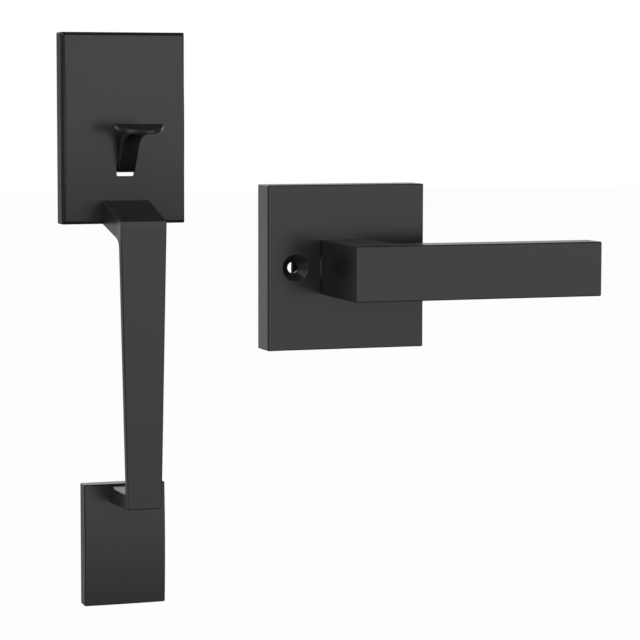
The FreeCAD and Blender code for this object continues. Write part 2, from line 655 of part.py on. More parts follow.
def make_grip(upper, lower):
    """One casting: two arms and a tapering flat bar, seated on both escutcheons."""
    front = -GRIP_REACH
    start = -ESC_BASE + EDGE_ROUND
    face = crown_y(0, UPPER_ARM_TOP, ESC_FACE, 0, ESC_MID_Z)
    share = (start - face) / (front - face)

    def along(at_plate, at_front):
        return at_plate + (at_front - at_plate) * share

    def outline(half, y, low, high):
        return [
            Vector(-half, y, low), Vector(half, y, low), Vector(half, y, high),
            Vector(-half, y, high),
        ]

    arm = loft(
        outline(
            along(UPPER_ARM_HALF, GRIP_TOP_HALF), start,
            along(UPPER_ARM_UNDER, UPPER_ARM_UNDER_FRONT), along(UPPER_ARM_TOP, GRIP_TOP),
        ),
        outline(GRIP_TOP_HALF, front, UPPER_ARM_UNDER_FRONT, GRIP_TOP),
    )
    back = front + GRIP_THICK
    bar = loft(
        [
            Vector(-GRIP_TOP_HALF, front, GRIP_TOP), Vector(GRIP_TOP_HALF, front, GRIP_TOP),
            Vector(GRIP_TOP_HALF, back, GRIP_TOP), Vector(-GRIP_TOP_HALF, back, GRIP_TOP),
        ],
        [
            Vector(-GRIP_BOTTOM_HALF, front, GRIP_BOTTOM),
            Vector(GRIP_BOTTOM_HALF, front, GRIP_BOTTOM),
            Vector(GRIP_BOTTOM_HALF, back, GRIP_BOTTOM),
            Vector(-GRIP_BOTTOM_HALF, back, GRIP_BOTTOM),
        ],
    )
    low_start = -LOW_FACE / 2
    foot = loft(
        outline(LOWER_ARM_HALF, low_start, LOWER_ARM_UNDER, LOWER_ARM_TOP),
        outline(GRIP_BOTTOM_HALF, front, GRIP_BOTTOM, LOWER_ARM_TOP_FRONT),
    )
    under_back = UPPER_ARM_UNDER_FRONT
    body = arm.fuse([bar, foot]).removeSplitter()
    body = rounded(
        body, UPPER_INNER_ROUND,
        lambda e: abs(middle(e).x) < 1 and abs(middle(e).y - back) < 1.5
        and abs(middle(e).z - under_back) < INNER_ROUND_REACH,
    )
    body = rounded(
        body, LOWER_INNER_ROUND,
        lambda e: abs(middle(e).x) < 1 and abs(middle(e).y - back) < 1.5
        and abs(middle(e).z - LOWER_ARM_TOP_FRONT) < 3,
    )
    body = body.cut(upper).cut(lower)
    for z in (UPPER_SCREW_Z, LOWER_SCREW_Z):
        seat = UPPER_SEAT_Y if z == UPPER_SCREW_Z else LOWER_SEAT_Y
        end = seat - GRIP_SCREW_DEPTH - SEAT_GAP
        body = body.cut(many_sided(GRIP_SCREW_RADIUS + RUNNING_FIT, 0, z, end, seat))
    return body


def make_grip_screws():
    """Two pan-head screws from inside the escutcheons into the grip's arms."""
    screws = []
    for z, seat in ((UPPER_SCREW_Z, UPPER_SEAT_Y), (LOWER_SCREW_Z, LOWER_SEAT_Y)):
        crest = seat + GRIP_SCREW_HEAD_THICK
        head = many_sided(GRIP_SCREW_HEAD, 0, z, seat, crest, GRIP_SCREW_HEAD - EDGE_ROUND)
        shank = many_sided(GRIP_SCREW_RADIUS, 0, z, seat - GRIP_SCREW_DEPTH, seat)
        screws.append(head.fuse(shank))
    return Part.makeCompound(screws)


def lower_outside():
    """Outer form of the lower escutcheon: one crowned tier."""
    return crowned_tier(LOW_WIDTH / 2, LOW_BOTTOM, LOW_TOP, 0, LOW_FACE, LOW_MID_Z)


def make_lower_escutcheon(outside):
    """Open-backed casting with a boss for the threaded post."""
    half = LOW_WIDTH / 2 - LOW_SIDE_WALL
    room = box(
        -half, half, -LOW_FACE, 0, LOW_BOTTOM + LOW_SIDE_WALL, LOW_TOP - LOW_SIDE_WALL
    )
    room = room.common(crown_ball(0, LOW_MID_Z, LOW_FACE, LOW_FACE_WALL))
    seat = many_sided(GRIP_SCREW_HEAD + SCREW_SEAT, 0, LOWER_SCREW_Z, -LOW_FACE, LOWER_SEAT_Y)
    room = room.cut(seat)
    room = room.cut(many_sided(LOW_BOSS_RADIUS, 0, LOW_POST_Z, -LOW_FACE, 0))
    body = outside.cut(room)
    body = body.cut(grip_screw_room(LOWER_SCREW_Z, LOWER_SEAT_Y, 0))
    hole_end = -LOW_POST_SPIGOT_LENGTH - SEAT_GAP
    return body.cut(many_sided(LOW_POST_SPIGOT + RUNNING_FIT, 0, LOW_POST_Z, hole_end, 0))


def make_lower_post():
    """Threaded sleeve screwed into the lower escutcheon for its through bolt."""
    post = many_sided(LOW_POST_RADIUS, 0, LOW_POST_Z, 0, LOW_POST_LENGTH)
    post = post.fuse(many_sided(LOW_POST_SPIGOT, 0, LOW_POST_Z, -LOW_POST_SPIGOT_LENGTH, 0))
    return post.cut(rod_y(LOW_POST_BORE, 0, LOW_POST_Z, 0, LOW_POST_LENGTH))


def make_rosette():
    """Square open-backed casting with two countersunk bolt holes."""
    left, right = ROSE_X - ROSE_HALF, ROSE_X + ROSE_HALF
    low, high = ROSE_Z - ROSE_HALF, ROSE_Z + ROSE_HALF
    body = box(left, right, -ROSE_THICK, 0, low, high)
    body = eased(body, EDGE_EASE, lambda e: middle(e).y < -ROSE_THICK / 2)
    wall = ROSE_SIDE_WALL
    floor = -ROSE_THICK + ROSE_FACE_WALL
    room = box(left + wall, right - wall, floor, 0, low + wall, high - wall)
    for side in (-1, 1):
        x = ROSE_X + side * BOLT_SPACING / 2
        room = room.cut(many_sided(BOLT_BOSS_RADIUS, x, ROSE_Z, floor, floor + BOLT_BOSS_LENGTH))
    for x, z in CASSETTE_SCREWS:
        room = room.cut(many_sided(BOSS_RADIUS, x, z, floor, -CASSETTE_BASE))
    body = body.cut(room)
    seat = BUSH_BODY_RADIUS + RUNNING_FIT
    body = body.cut(many_sided(seat, ROSE_X, ROSE_Z, -ROSE_THICK, floor, sides=WIDE_SIDES))
    sink = COUNTERSINK_RADIUS - BOLT_HOLE_RADIUS
    for side in (-1, 1):
        x = ROSE_X + side * BOLT_SPACING / 2
        body = body.cut(rod_y(BOLT_HOLE_RADIUS, x, ROSE_Z, -ROSE_THICK, 0))
        cone = cone_y(
            COUNTERSINK_RADIUS, BOLT_HOLE_RADIUS, x, ROSE_Z, -ROSE_THICK, -ROSE_THICK + sink
        )
        body = body.cut(cone)
    for x, z in CASSETTE_SCREWS:
        hole_end = -PLATE_SCREW_LENGTH - SEAT_GAP
        body = body.cut(many_sided(PLATE_SCREW_RADIUS + RUNNING_FIT, x, z, hole_end, 0))
    return body


def make_rosette_bush():
    """Flanged bearing between the rosette and the lever's shank."""
    flange = rod_y(
        BUSH_FLANGE_RADIUS, ROSE_X, ROSE_Z, -ROSE_THICK - BUSH_FLANGE_THICK, -ROSE_THICK
    )
    body = flange.fuse(
        many_sided(BUSH_BODY_RADIUS, ROSE_X, ROSE_Z, -ROSE_THICK, BUSH_END, sides=WIDE_SIDES)
    )
    bore = rod_y(
        SHANK_RADIUS + RUNNING_FIT, ROSE_X, ROSE_Z, -ROSE_THICK - BUSH_FLANGE_THICK, BUSH_END
    )
    return body.cut(bore)


def make_lever():
    """One casting: square hub, straight bar and the stepped shank behind them."""
    low, high = ROSE_Z - LEVER_HEIGHT / 2, ROSE_Z + LEVER_HEIGHT / 2
    hub = box(HUB_LEFT, HUB_RIGHT, -LEVER_FRONT, -HUB_BACK, low, high)
    bar_back = -LEVER_FRONT + LEVER_THICK
    bar = box(HUB_LEFT, HUB_LEFT + LEVER_LENGTH, -LEVER_FRONT, bar_back, low, high)
    body = hub.fuse(bar).removeSplitter()
    body = rounded(
        body, LEVER_INNER_ROUND,
        lambda e: abs(middle(e).x - HUB_RIGHT) < 0.1 and abs(middle(e).y - bar_back) < 0.1,
    )
    body = eased(body, EDGE_EASE, lambda e: middle(e).y < -HUB_BACK - EDGE_EASE)
    shank = rod_y(SHANK_RADIUS, ROSE_X, ROSE_Z, -HUB_BACK, CAM_FRONT)
    square = square_y(SHANK_SQUARE, ROSE_X, ROSE_Z, CAM_FRONT, -SHANK_END)
    groove = square_y(SHANK_SQUARE, ROSE_X, ROSE_Z, RING_FRONT, RING_FRONT + RING_THICK)
    core = many_sided(
        RING_GROOVE_RADIUS, ROSE_X, ROSE_Z, RING_FRONT, RING_FRONT + RING_THICK, sides=WIDE_SIDES
    )
    groove = groove.cut(core)
    body = body.fuse([shank, square.cut(groove)])
    socket_end = -SHANK_END - SOCKET_DEPTH
    body = body.cut(square_y(SOCKET_SIDE, ROSE_X, ROSE_Z, socket_end, -SHANK_END))
    return body.cut(set_screw_rod(SET_SCREW_RADIUS + RUNNING_FIT, 0, LEVER_HEIGHT / 2))


def set_screw_rod(radius, sunk, length):
    """Round bar up into the hub's underside, where the set screw sits."""
    y = -HUB_BACK - SET_SCREW_FROM_HUB
    base = ROSE_Z - LEVER_HEIGHT / 2 + sunk
    return rod(radius, Vector(ROSE_X, y, base), Vector(ROSE_X, y, base + length))


def make_lever_set_screw():
    """Grub screw that clamps the spindle, with a hexagon socket."""
    screw = set_screw_rod(SET_SCREW_RADIUS, SET_SCREW_SUNK, SET_SCREW_LENGTH)
    y = -HUB_BACK - SET_SCREW_FROM_HUB
    base = ROSE_Z - LEVER_HEIGHT / 2 + SET_SCREW_SUNK
    points = [
        Vector(
            ROSE_X + SET_SCREW_HEX * math.cos(turn), y + SET_SCREW_HEX * math.sin(turn), base
        )
        for turn in [math.radians(60 * step) for step in range(7)]
    ]
    hexagon = Part.Face(Part.makePolygon(points)).extrude(Vector(0, 0, SET_SCREW_LENGTH / 2))
    return screw.cut(hexagon)


def make_cassette_housing():
    """Base plate with the spring drum and the fixed stop between the spring's legs."""
    base = box(
        ROSE_X - CASSETTE_WIDTH / 2, ROSE_X + CASSETTE_WIDTH / 2, -CASSETTE_BASE, 0,
        ROSE_Z - CASSETTE_HEIGHT / 2, ROSE_Z + CASSETTE_HEIGHT / 2,
    )
    top = -ROSE_THICK + ROSE_FACE_WALL + MOVING_GAP
    outer, inner = DRUM_INNER_RADIUS + DRUM_WALL, DRUM_INNER_RADIUS
    drum = many_sided(outer, ROSE_X, ROSE_Z, top, -CASSETTE_BASE, sides=WIDE_SIDES)
    drum = drum.cut(many_sided(inner, ROSE_X, ROSE_Z, top, -CASSETTE_BASE, sides=WIDE_SIDES))
    stop = box(
        ROSE_X - STOP_HALF_WIDTH, ROSE_X + STOP_HALF_WIDTH,
        RING_FRONT + RING_THICK, -CASSETTE_BASE,
        ROSE_Z + STOP_INNER_RADIUS, ROSE_Z + STOP_OUTER_RADIUS,
    )
    body = base.fuse([drum, stop])
    room = many_sided(CASSETTE_HOLE_RADIUS, ROSE_X, ROSE_Z, -CASSETTE_BASE, 0, sides=WIDE_SIDES)
    body = body.cut(room)
    for x, z in CASSETTE_SCREWS:
        hole, sink = PLATE_SCREW_RADIUS + SEAT_GAP, PLATE_SCREW_HEAD + SEAT_GAP
        body = body.cut(many_sided(hole, x, z, -CASSETTE_BASE, 0))
        body = body.cut(many_sided(hole, x, z, -PLATE_SCREW_HEAD_DEPTH, 0, sink))
    return body


def make_cassette_screws():
    """Four countersunk screws that hold the cassette in the rosette."""
    screw = countersunk_screw(
        PLATE_SCREW_HEAD, PLATE_SCREW_RADIUS, PLATE_SCREW_HEAD_DEPTH, PLATE_SCREW_LENGTH
    )
    return Part.makeCompound([moved(screw, x, 0, z) for x, z in CASSETTE_SCREWS])


def make_return_cam():
    """Plate keyed on the shank, with the finger that pushes a spring leg."""
    hub = many_sided(CAM_HUB_RADIUS, ROSE_X, ROSE_Z, CAM_FRONT, CAM_BACK, sides=WIDE_SIDES)
    arm = box(
        ROSE_X - STOP_HALF_WIDTH, ROSE_X + STOP_HALF_WIDTH, CAM_FRONT, CAM_BACK,
        ROSE_Z, ROSE_Z + FINGER_OUTER_RADIUS,
    )
    finger = box(
        ROSE_X - STOP_HALF_WIDTH, ROSE_X + STOP_HALF_WIDTH, CAM_FRONT,
        -CASSETTE_BASE - MOVING_GAP,
        ROSE_Z + FINGER_INNER_RADIUS, ROSE_Z + FINGER_OUTER_RADIUS,
    )
    body = hub.fuse([arm, finger])
    key = square_y(SHANK_SQUARE + 2 * RUNNING_FIT, ROSE_X, ROSE_Z, CAM_FRONT, CAM_BACK)
    return body.cut(key)


def make_retaining_ring():
    """Open ring in the shank's groove, behind the cam."""
    ring = ring_clip(
        RING_OUTER_RADIUS, RING_GROOVE_RADIUS + RUNNING_FIT, RING_MOUTH, RING_THICK - RUNNING_FIT
    )
    return moved(ring, ROSE_X, RING_FRONT, ROSE_Z)


def make_return_spring():
    """Two-turn torsion coil whose legs stand on both sides of the stop."""
    half = TORSION_WIRE / 2
    leg_x = STOP_HALF_WIDTH + half + SEAT_GAP
    gap_angle = 2 * math.asin(leg_x / TORSION_RADIUS)
    turns = 2 - gap_angle / (2 * math.pi)
    wire = coil(TORSION_RADIUS, TORSION_WIRE, TORSION_PITCH, turns)
    wire.rotate(Vector(0, 0, 0), Vector(0, 0, 1), math.degrees(gap_angle / 2))
    root = TORSION_RADIUS * math.cos(gap_angle / 2) - half
    reach = FINGER_OUTER_RADIUS - SEAT_GAP - root
    legs = []
    for offset, level in ((leg_x, 0.0), (-leg_x, TORSION_PITCH * turns)):
        corners = []
        for side in range(COIL_SIDES + 1):
            angle = 2 * math.pi * (side % COIL_SIDES) / COIL_SIDES
            corners.append(
                Vector(root, offset + half * math.cos(angle), level + half * math.sin(angle))
            )
        legs.append(Part.Face(Part.makePolygon(corners)).extrude(Vector(reach, 0, 0)))
    spring = wire.fuse(legs)
    spring.rotate(Vector(0, 0, 0), Vector(0, 1, 0), -90)
    spring.rotate(Vector(0, 0, 0), Vector(0, 0, 1), -90)
    back = -CASSETTE_BASE - MOVING_GAP
    return moved(spring, ROSE_X, back - spring.BoundBox.YMax, ROSE_Z)


def main():
    """Build every node."""
    upper = upper_outside()
    lower = lower_outside()
    write("upper_escutcheon", make_upper_escutcheon(upper))
    write("thumb_pivot_pin", make_thumb_pivot_pin())
    write("thumbpiece", make_thumbpiece())
    write("mounting_plate", make_mounting_plate())
    write("bolt_bushes", make_bolt_bushes())
    write("plate_screws", make_plate_screws())
    write("latch_rotor", make_latch_rotor())
    write("rotor_clip", make_rotor_clip())
    write("spindle", make_spindle())
    write("lift_bar", make_lift_bar())
    write("guide_pins", make_guide_pins())
    write("lift_spring", make_lift_spring())
    write("grip", make_grip(upper, lower))
    write("grip_screws", make_grip_screws())
    write("lower_escutcheon", make_lower_escutcheon(lower))
    write("lower_post", make_lower_post())
    write("rosette", make_rosette())
    write("rosette_bush", make_rosette_bush())
    write("lever", make_lever())
    write("lever_set_screw", make_lever_set_screw())
    write("cassette_housing", make_cassette_housing())
    write("cassette_screws", make_cassette_screws())
    write("return_cam", make_return_cam())
    write("retaining_ring", make_retaining_ring())
    write("return_spring", make_return_spring())


main()
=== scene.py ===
"""Entry door handleset in satin black: outside grip with thumb latch, inside lever on a rosette.

Every size is in millimetres in the row's frame: X to the right, Y into the door, Z up, with the
origin on the outside half's spindle axis at the door face. Meshes are written in metres.
"""

import logging
import math
from dataclasses import dataclass, field
from enum import Enum
from typing import Any, Callable, Optional, Sequence

import bmesh
import bpy
from mathutils import Matrix, Vector


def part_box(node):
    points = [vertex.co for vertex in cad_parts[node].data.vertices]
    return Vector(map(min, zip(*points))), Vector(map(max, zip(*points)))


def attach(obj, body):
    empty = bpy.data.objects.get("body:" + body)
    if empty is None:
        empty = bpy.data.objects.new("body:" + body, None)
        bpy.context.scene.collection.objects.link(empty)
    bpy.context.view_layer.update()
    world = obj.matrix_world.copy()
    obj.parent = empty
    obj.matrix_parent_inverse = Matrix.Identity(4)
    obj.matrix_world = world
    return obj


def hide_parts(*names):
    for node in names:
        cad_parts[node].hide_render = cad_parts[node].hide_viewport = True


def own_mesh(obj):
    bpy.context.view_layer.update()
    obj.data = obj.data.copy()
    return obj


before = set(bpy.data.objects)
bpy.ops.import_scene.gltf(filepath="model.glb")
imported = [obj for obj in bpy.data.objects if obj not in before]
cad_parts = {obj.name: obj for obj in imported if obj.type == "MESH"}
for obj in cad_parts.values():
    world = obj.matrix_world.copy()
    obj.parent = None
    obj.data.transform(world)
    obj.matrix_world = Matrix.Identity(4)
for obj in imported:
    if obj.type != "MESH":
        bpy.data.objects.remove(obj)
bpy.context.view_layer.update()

LOG = logging.getLogger("handleset")
MM = 0.001
CROWN = 450.0  # radius of the crowned faces
EDGE = 0.45  # chamfer along the castings' edges
TIGHT = 0.1  # corner radius of a face just inside its chamfer
CORNER_STEPS = 5
SIDE_STEPS = 8
FILLET_STEPS = 8
WELD = 1e-7  # points of a new shell nearer than this are one, in metres
STRAY = 1e-6  # edges and gaps that a boolean leaves, in metres
WHITE = (1.0, 1.0, 1.0, 1.0)
UPRIGHT = Vector((0.0, 0.0, 0.0))
LAID = Vector((math.radians(-90.0), 0.0, 0.0))  # an upright shape's top points into the door
INSIDE_AXIS = (104.0, -67.0)  # the lever's axis as X and Z

Pair = tuple[float, float]
Triple = tuple[float, float, float]
Outline = list[Pair]
Depth = Callable[[float, float], float]
Side = tuple[Pair, Pair]


class Body(Enum):
    """The CAD bodies a piece can ride on."""

    SET = "set"
    THUMB = "thumb"
    HANDLE = "handle"


class Coat(Enum):
    """The record's material slots."""

    BLACK = "black_coat"
    ZINC = "zinc_plated_steel"
    DARK_STEEL = "black_steel"
    SPRING = "spring_steel"


class Join(Enum):
    """How one solid meets another."""

    ADD = "UNION"
    CUT = "DIFFERENCE"


Finishes = dict[Coat, bpy.types.Material]


# Outlines and depths


def between(first: Pair, last: Pair, share: float) -> Pair:
    """The point a share of the way from one to another."""
    return (first[0] + (last[0] - first[0]) * share, first[1] + (last[1] - first[1]) * share)


def arc_points(centre: Pair, radius: float, start: float, end: float, steps: int) -> Outline:
    """Points along an arc, angles in degrees."""
    points = []
    for step in range(steps + 1):
        turn = math.radians(start + (end - start) * step / steps)
        points.append((centre[0] + radius * math.cos(turn), centre[1] + radius * math.sin(turn)))
    return points


def circle(centre: Pair, radius: float, steps: int) -> Outline:
    """Points round a full circle."""
    return arc_points(centre, radius, 0.0, 360.0, steps)[:-1]


def rounded_outline(half_x: float, half_z: float, radius: float, centre: Pair) -> Outline:
    """Points round a rectangle with rounded corners, anticlockwise as seen from the front.

    Args:
        half_x: Half the width.
        half_z: Half the height.
        radius: Corner radius.
        centre: Middle of the rectangle as X and Z.

    Returns:
        X and Z pairs, always the same number.
    """
    arcs = []
    for sign_x, sign_z, start in ((1, -1, -90.0), (1, 1, 0.0), (-1, 1, 90.0), (-1, -1, 180.0)):
        middle = (centre[0] + sign_x * (half_x - radius), centre[1] + sign_z * (half_z - radius))
        arcs.append(arc_points(middle, radius, start, start + 90.0, CORNER_STEPS))
    points: Outline = []
    for index, arc in enumerate(arcs):
        following = arcs[(index + 1) % len(arcs)][0]
        points += arc
        points += [between(arc[-1], following, step / SIDE_STEPS) for step in range(1, SIDE_STEPS)]
    return points


def circle_like(outline: Outline, radius: float, centre: Pair) -> Outline:
    """Points on a circle, each in the same direction from the centre as the outline's."""
    points = []
    for x, z in outline:
        turn = math.atan2(z - centre[1], x - centre[0])
        points.append((centre[0] + radius * math.cos(turn), centre[1] + radius * math.sin(turn)))
    return points


def smooth_path(points: Sequence[Pair], steps: int) -> Outline:
    """A smooth line through points.

    Args:
        points: The points to pass through.
        steps: Segments between two of them.

    Returns:
        More points along the same line.
    """
    padded = [points[0], *points, points[-1]]
    line: Outline = []
    for index in range(1, len(padded) - 2):
        a, b, c, d = (Vector(padded[index + shift]) for shift in (-1, 0, 1, 2))
        for step in range(steps):
            t = step / steps
            place = 0.5 * (
                2 * b + (c - a) * t + (2 * a - 5 * b + 4 * c - d) * t * t
                + (3 * b - a - 3 * c + d) * t ** 3
            )
            line.append((place.x, place.y))
    line.append(tuple(points[-1]))
    return line


def level(value: float) -> Depth:
    """A depth that is the same all over."""
    return lambda x, z: value


def dome(face: float, centre: Pair, inset: float = 0.0) -> Depth:
    """Depth of a shallow ball-shaped face.

    Args:
        face: How far the middle stands in front of the door.
        centre: Middle of the face as X and Z.
        inset: Wall thickness behind the outer face, or 0 for the outer face.

    Returns:
        A function of X and Z.
    """

    def depth(x: float, z: float) -> float:
        """Depth at one place."""
        run = math.hypot(x - centre[0], z - centre[1])
        return CROWN - face - math.sqrt((CROWN - inset) ** 2 - run * run)

    return depth


# Pieces and the shells they start from


def put(name: str, data: Any) -> bpy.types.Object:
    """An object with the given data, linked into the scene."""
    made = bpy.data.objects.new(name, data)
    bpy.context.scene.collection.objects.link(made)
    return made


class Piece:
    """A mesh object at the origin, on its way to a finished piece."""

    def __init__(self, name: str, mesh: bpy.types.Mesh) -> None:
        """Puts a mesh in the scene as an object."""
        self.made = put(name, mesh)

    def settle(self) -> "Piece":
        """Replaces the mesh with the result of its modifiers, which are removed."""
        bpy.context.view_layer.update()
        graph = bpy.context.evaluated_depsgraph_get()
        evaluated = self.made.evaluated_get(graph)
        mesh = bpy.data.meshes.new_from_object(evaluated, depsgraph=graph)
        self.made.modifiers.clear()
        self.made.data = mesh
        return self

    def modify(self, kind: str, **settings: Any) -> "Piece":
        """Runs one modifier with its settings."""
        change = self.made.modifiers.new(kind.lower(), kind)
        for name, value in settings.items():
            setattr(change, name, value)
        return self.settle()

    def clean(self) -> "Piece":
        """Merges doubled points and dissolves faces without area."""
        draft = bmesh.new()
        draft.from_mesh(self.made.data)
        bmesh.ops.remove_doubles(draft, verts=draft.verts, dist=STRAY)
        bmesh.ops.dissolve_degenerate(draft, dist=STRAY, edges=draft.edges)
        draft.to_mesh(self.made.data)
        draft.free()
        return self

    def join(self, tool: "Piece", how: Join = Join.ADD) -> "Piece":
        """Adds a tool's solid to the piece or cuts it out, and removes the tool."""
        self.modify("BOOLEAN", operation=how.value, solver="EXACT", object=tool.made)
        bpy.data.objects.remove(tool.made)
        return self.clean()

    def soften(self, width: float = EDGE) -> "Piece":
        """Chamfers every edge sharper than 30 degrees."""
        return self.modify(
            "BEVEL",
            width=width * MM,
            segments=1,
            limit_method="ANGLE",
            angle_limit=math.radians(30.0),
            miter_outer="MITER_ARC",
        )

    def hand_over(
        self,
        node: str,
        finishes: Finishes,
        body: Body = Body.SET,
        coat: Coat = Coat.BLACK,
        angle: float = 35.0,
    ) -> bpy.types.Object:
        """Shades the piece and gives it its finish, its body and the node that it stands for.

        Args:
            node: The CAD node that it replaces.
            finishes: The materials by slot.
            body: The body that it rides on.
            coat: The record's slot.
            angle: Edges sharper than this many degrees stay crisp.

        Returns:
            The finished object.
        """
        mesh = self.made.data
        mesh.polygons.foreach_set("use_smooth", [True] * len(mesh.polygons))
        mesh.set_sharp_from_angle(angle=math.radians(angle))
        self.modify("WEIGHTED_NORMAL", mode="FACE_AREA", weight=50, keep_sharp=True)
        self.made.data.materials.clear()
        self.made.data.materials.append(finishes[coat])
        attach(self.made, body.value)
        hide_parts(node)
        LOG.info("%s: %d faces", self.made.name, len(self.made.data.polygons))
        return self.made


class Shell:
    """A mesh that is put together ring by ring."""

    def __init__(self) -> None:
        """Starts with nothing."""
        self.points: list[Vector] = []
        self.faces: list[tuple[int, ...]] = []
        self.rings: list[list[int]] = []

    def place(self, points: Sequence[Vector]) -> "Shell":
        """Adds a ring of points and joins it to the last one."""
        start = len(self.points)
        self.points.extend(points)
        self.rings.append(list(range(start, start + len(points))))
        if len(self.rings) > 1:
            self._bridge(self.rings[-2], self.rings[-1])
        return self

    def ring(self, outline: Outline, depth: Depth) -> "Shell":
        """Adds a ring at a depth."""
        return self.place([Vector((x, depth(x, z), z)) for x, z in outline])

    def _bridge(self, first: list[int], second: list[int]) -> None:
        """Quads between two rings."""
        for index in range(len(first)):
            following = (index + 1) % len(first)
            self.faces.append((first[index], first[following], second[following], second[index]))

    def across(self, start: Outline, end: Outline, depth: Depth, steps: int) -> "Shell":
        """Rings that pass from one outline to another over a surface."""
        for step in range(1, steps + 1):
            self.ring([between(a, b, step / steps) for a, b in zip(start, end)], depth)
        return self

    def loop(self) -> "Shell":
        """Joins the last ring to the first."""
        self._bridge(self.rings[-1], self.rings[0])
        return self

    def cap_first(self) -> "Shell":
        """Closes the first ring with one flat face."""
        self.faces.append(tuple(reversed(self.rings[0])))
        return self

    def cap_last(self) -> "Shell":
        """Closes the last ring with one flat face."""
        self.faces.append(tuple(self.rings[-1]))
        return self

    def peak(self, point: Vector) -> "Shell":
        """Closes the last ring with triangles to one point."""
        tip, last = len(self.points), self.rings[-1]
        self.points.append(point)
        for index, corner in enumerate(last):
            self.faces.append((corner, last[(index + 1) % len(last)], tip))
        return self

    def absorb(self, other: "Shell") -> "Shell":
        """Takes over another shell's points and faces."""
        offset = len(self.points)
        self.points += other.points
        self.faces += [tuple(corner + offset for corner in face) for face in other.faces]
        return self

    def build(self, name: str) -> Piece:
        """Makes the piece, its mesh in metres and its faces outwards."""
        mesh = bpy.data.meshes.new(name)
        mesh.from_pydata([tuple(point * MM) for point in self.points], [], self.faces)
        draft = bmesh.new()
        draft.from_mesh(mesh)
        bmesh.ops.remove_doubles(draft, verts=draft.verts, dist=WELD)
        bmesh.ops.recalc_face_normals(draft, faces=draft.faces)
        draft.to_mesh(mesh)
        draft.free()
        return Piece(name, mesh)


def turned(name: str, profile: Sequence[Pair], at: Pair, steps: int, solid: bool = True) -> Piece:
    """A turned shape about an axis along the door's depth.

    Args:
        name: The piece's name.
        profile: Radius and depth pairs from the front to the back.
        at: X and Z of the axis.
        steps: Segments round the axis.
        solid: True to cap both ends, False for a ring whose profile is closed.

    Returns:
        The new piece.
    """
    shell = Shell()
    for radius, depth in profile:
        shell.ring(circle(at, radius, steps), level(depth))
    return (shell.cap_first().cap_last() if solid else shell.loop()).build(name)


def post(name: str, radius: float, front: float, back: float, at: Pair, steps: int) -> Piece:
    """A round solid about an axis along the door's depth."""
    return turned(name, [(radius, front), (radius, back)], at, steps)


def prism(name: str, outline: Sequence[Pair], axis: str, low: float, high: float) -> Piece:
    """A straight solid with the given outline.

    Args:
        name: The piece's name.
        outline: Pairs on the two axes other than the given one, in X, Y, Z order.
        axis: The axis the outline is carried along, X, Y or Z.
        low: Where it starts.
        high: Where it ends.

    Returns:
        The new piece.
    """
    shell = Shell()
    for along in (low, high):
        ring = []
        for pair in outline:
            corner = list(pair)
            corner.insert("XYZ".index(axis), along)
            ring.append(Vector(corner))
        shell.place(ring)
    return shell.cap_first().cap_last().build(name)


# Node graphs


def math_node(operation: str, swapped: bool = False) -> Callable[..., "Term"]:
    """A method that adds a Math node; swapped for an operator's reflected form."""

    def method(self: "Term", *others: Any) -> "Term":
        """Adds the node."""
        values = (*others, self) if swapped else (self, *others)
        return self.graph.term("ShaderNodeMath", dict(enumerate(values)), operation=operation)

    return method


class Term:
    """A socket of a node tree; Python's operators add Math nodes to it."""

    __add__, __radd__ = math_node("ADD"), math_node("ADD", True)
    __sub__, __rsub__ = math_node("SUBTRACT"), math_node("SUBTRACT", True)
    __mul__, __rmul__ = math_node("MULTIPLY"), math_node("MULTIPLY", True)
    __truediv__, __rtruediv__ = math_node("DIVIDE"), math_node("DIVIDE", True)
    __abs__ = math_node("ABSOLUTE")
    largest = math_node("MAXIMUM")

    def __init__(self, graph: "Graph", socket: Any) -> None:
        """Wraps a socket of a graph."""
        self.graph = graph
        self.socket = socket

    def __neg__(self) -> "Term":
        """The value with its sign turned."""
        return self * -1.0

    def clamp(self) -> "Term":
        """This value held between 0 and 1."""
        return self.graph.term("ShaderNodeClamp", {"Value": self})

    def rises(self, span: Pair) -> "Term":
        """A soft step from 0 at the span's start to 1 at its end."""
        inputs = {"Value": self, "From Min": span[0], "From Max": span[1]}
        return self.graph.term("ShaderNodeMapRange", inputs, interpolation_type="SMOOTHSTEP")

    def falls(self, span: Pair) -> "Term":
        """A soft step from 1 at the span's start to 0 at its end."""
        return 1.0 - self.rises(span)


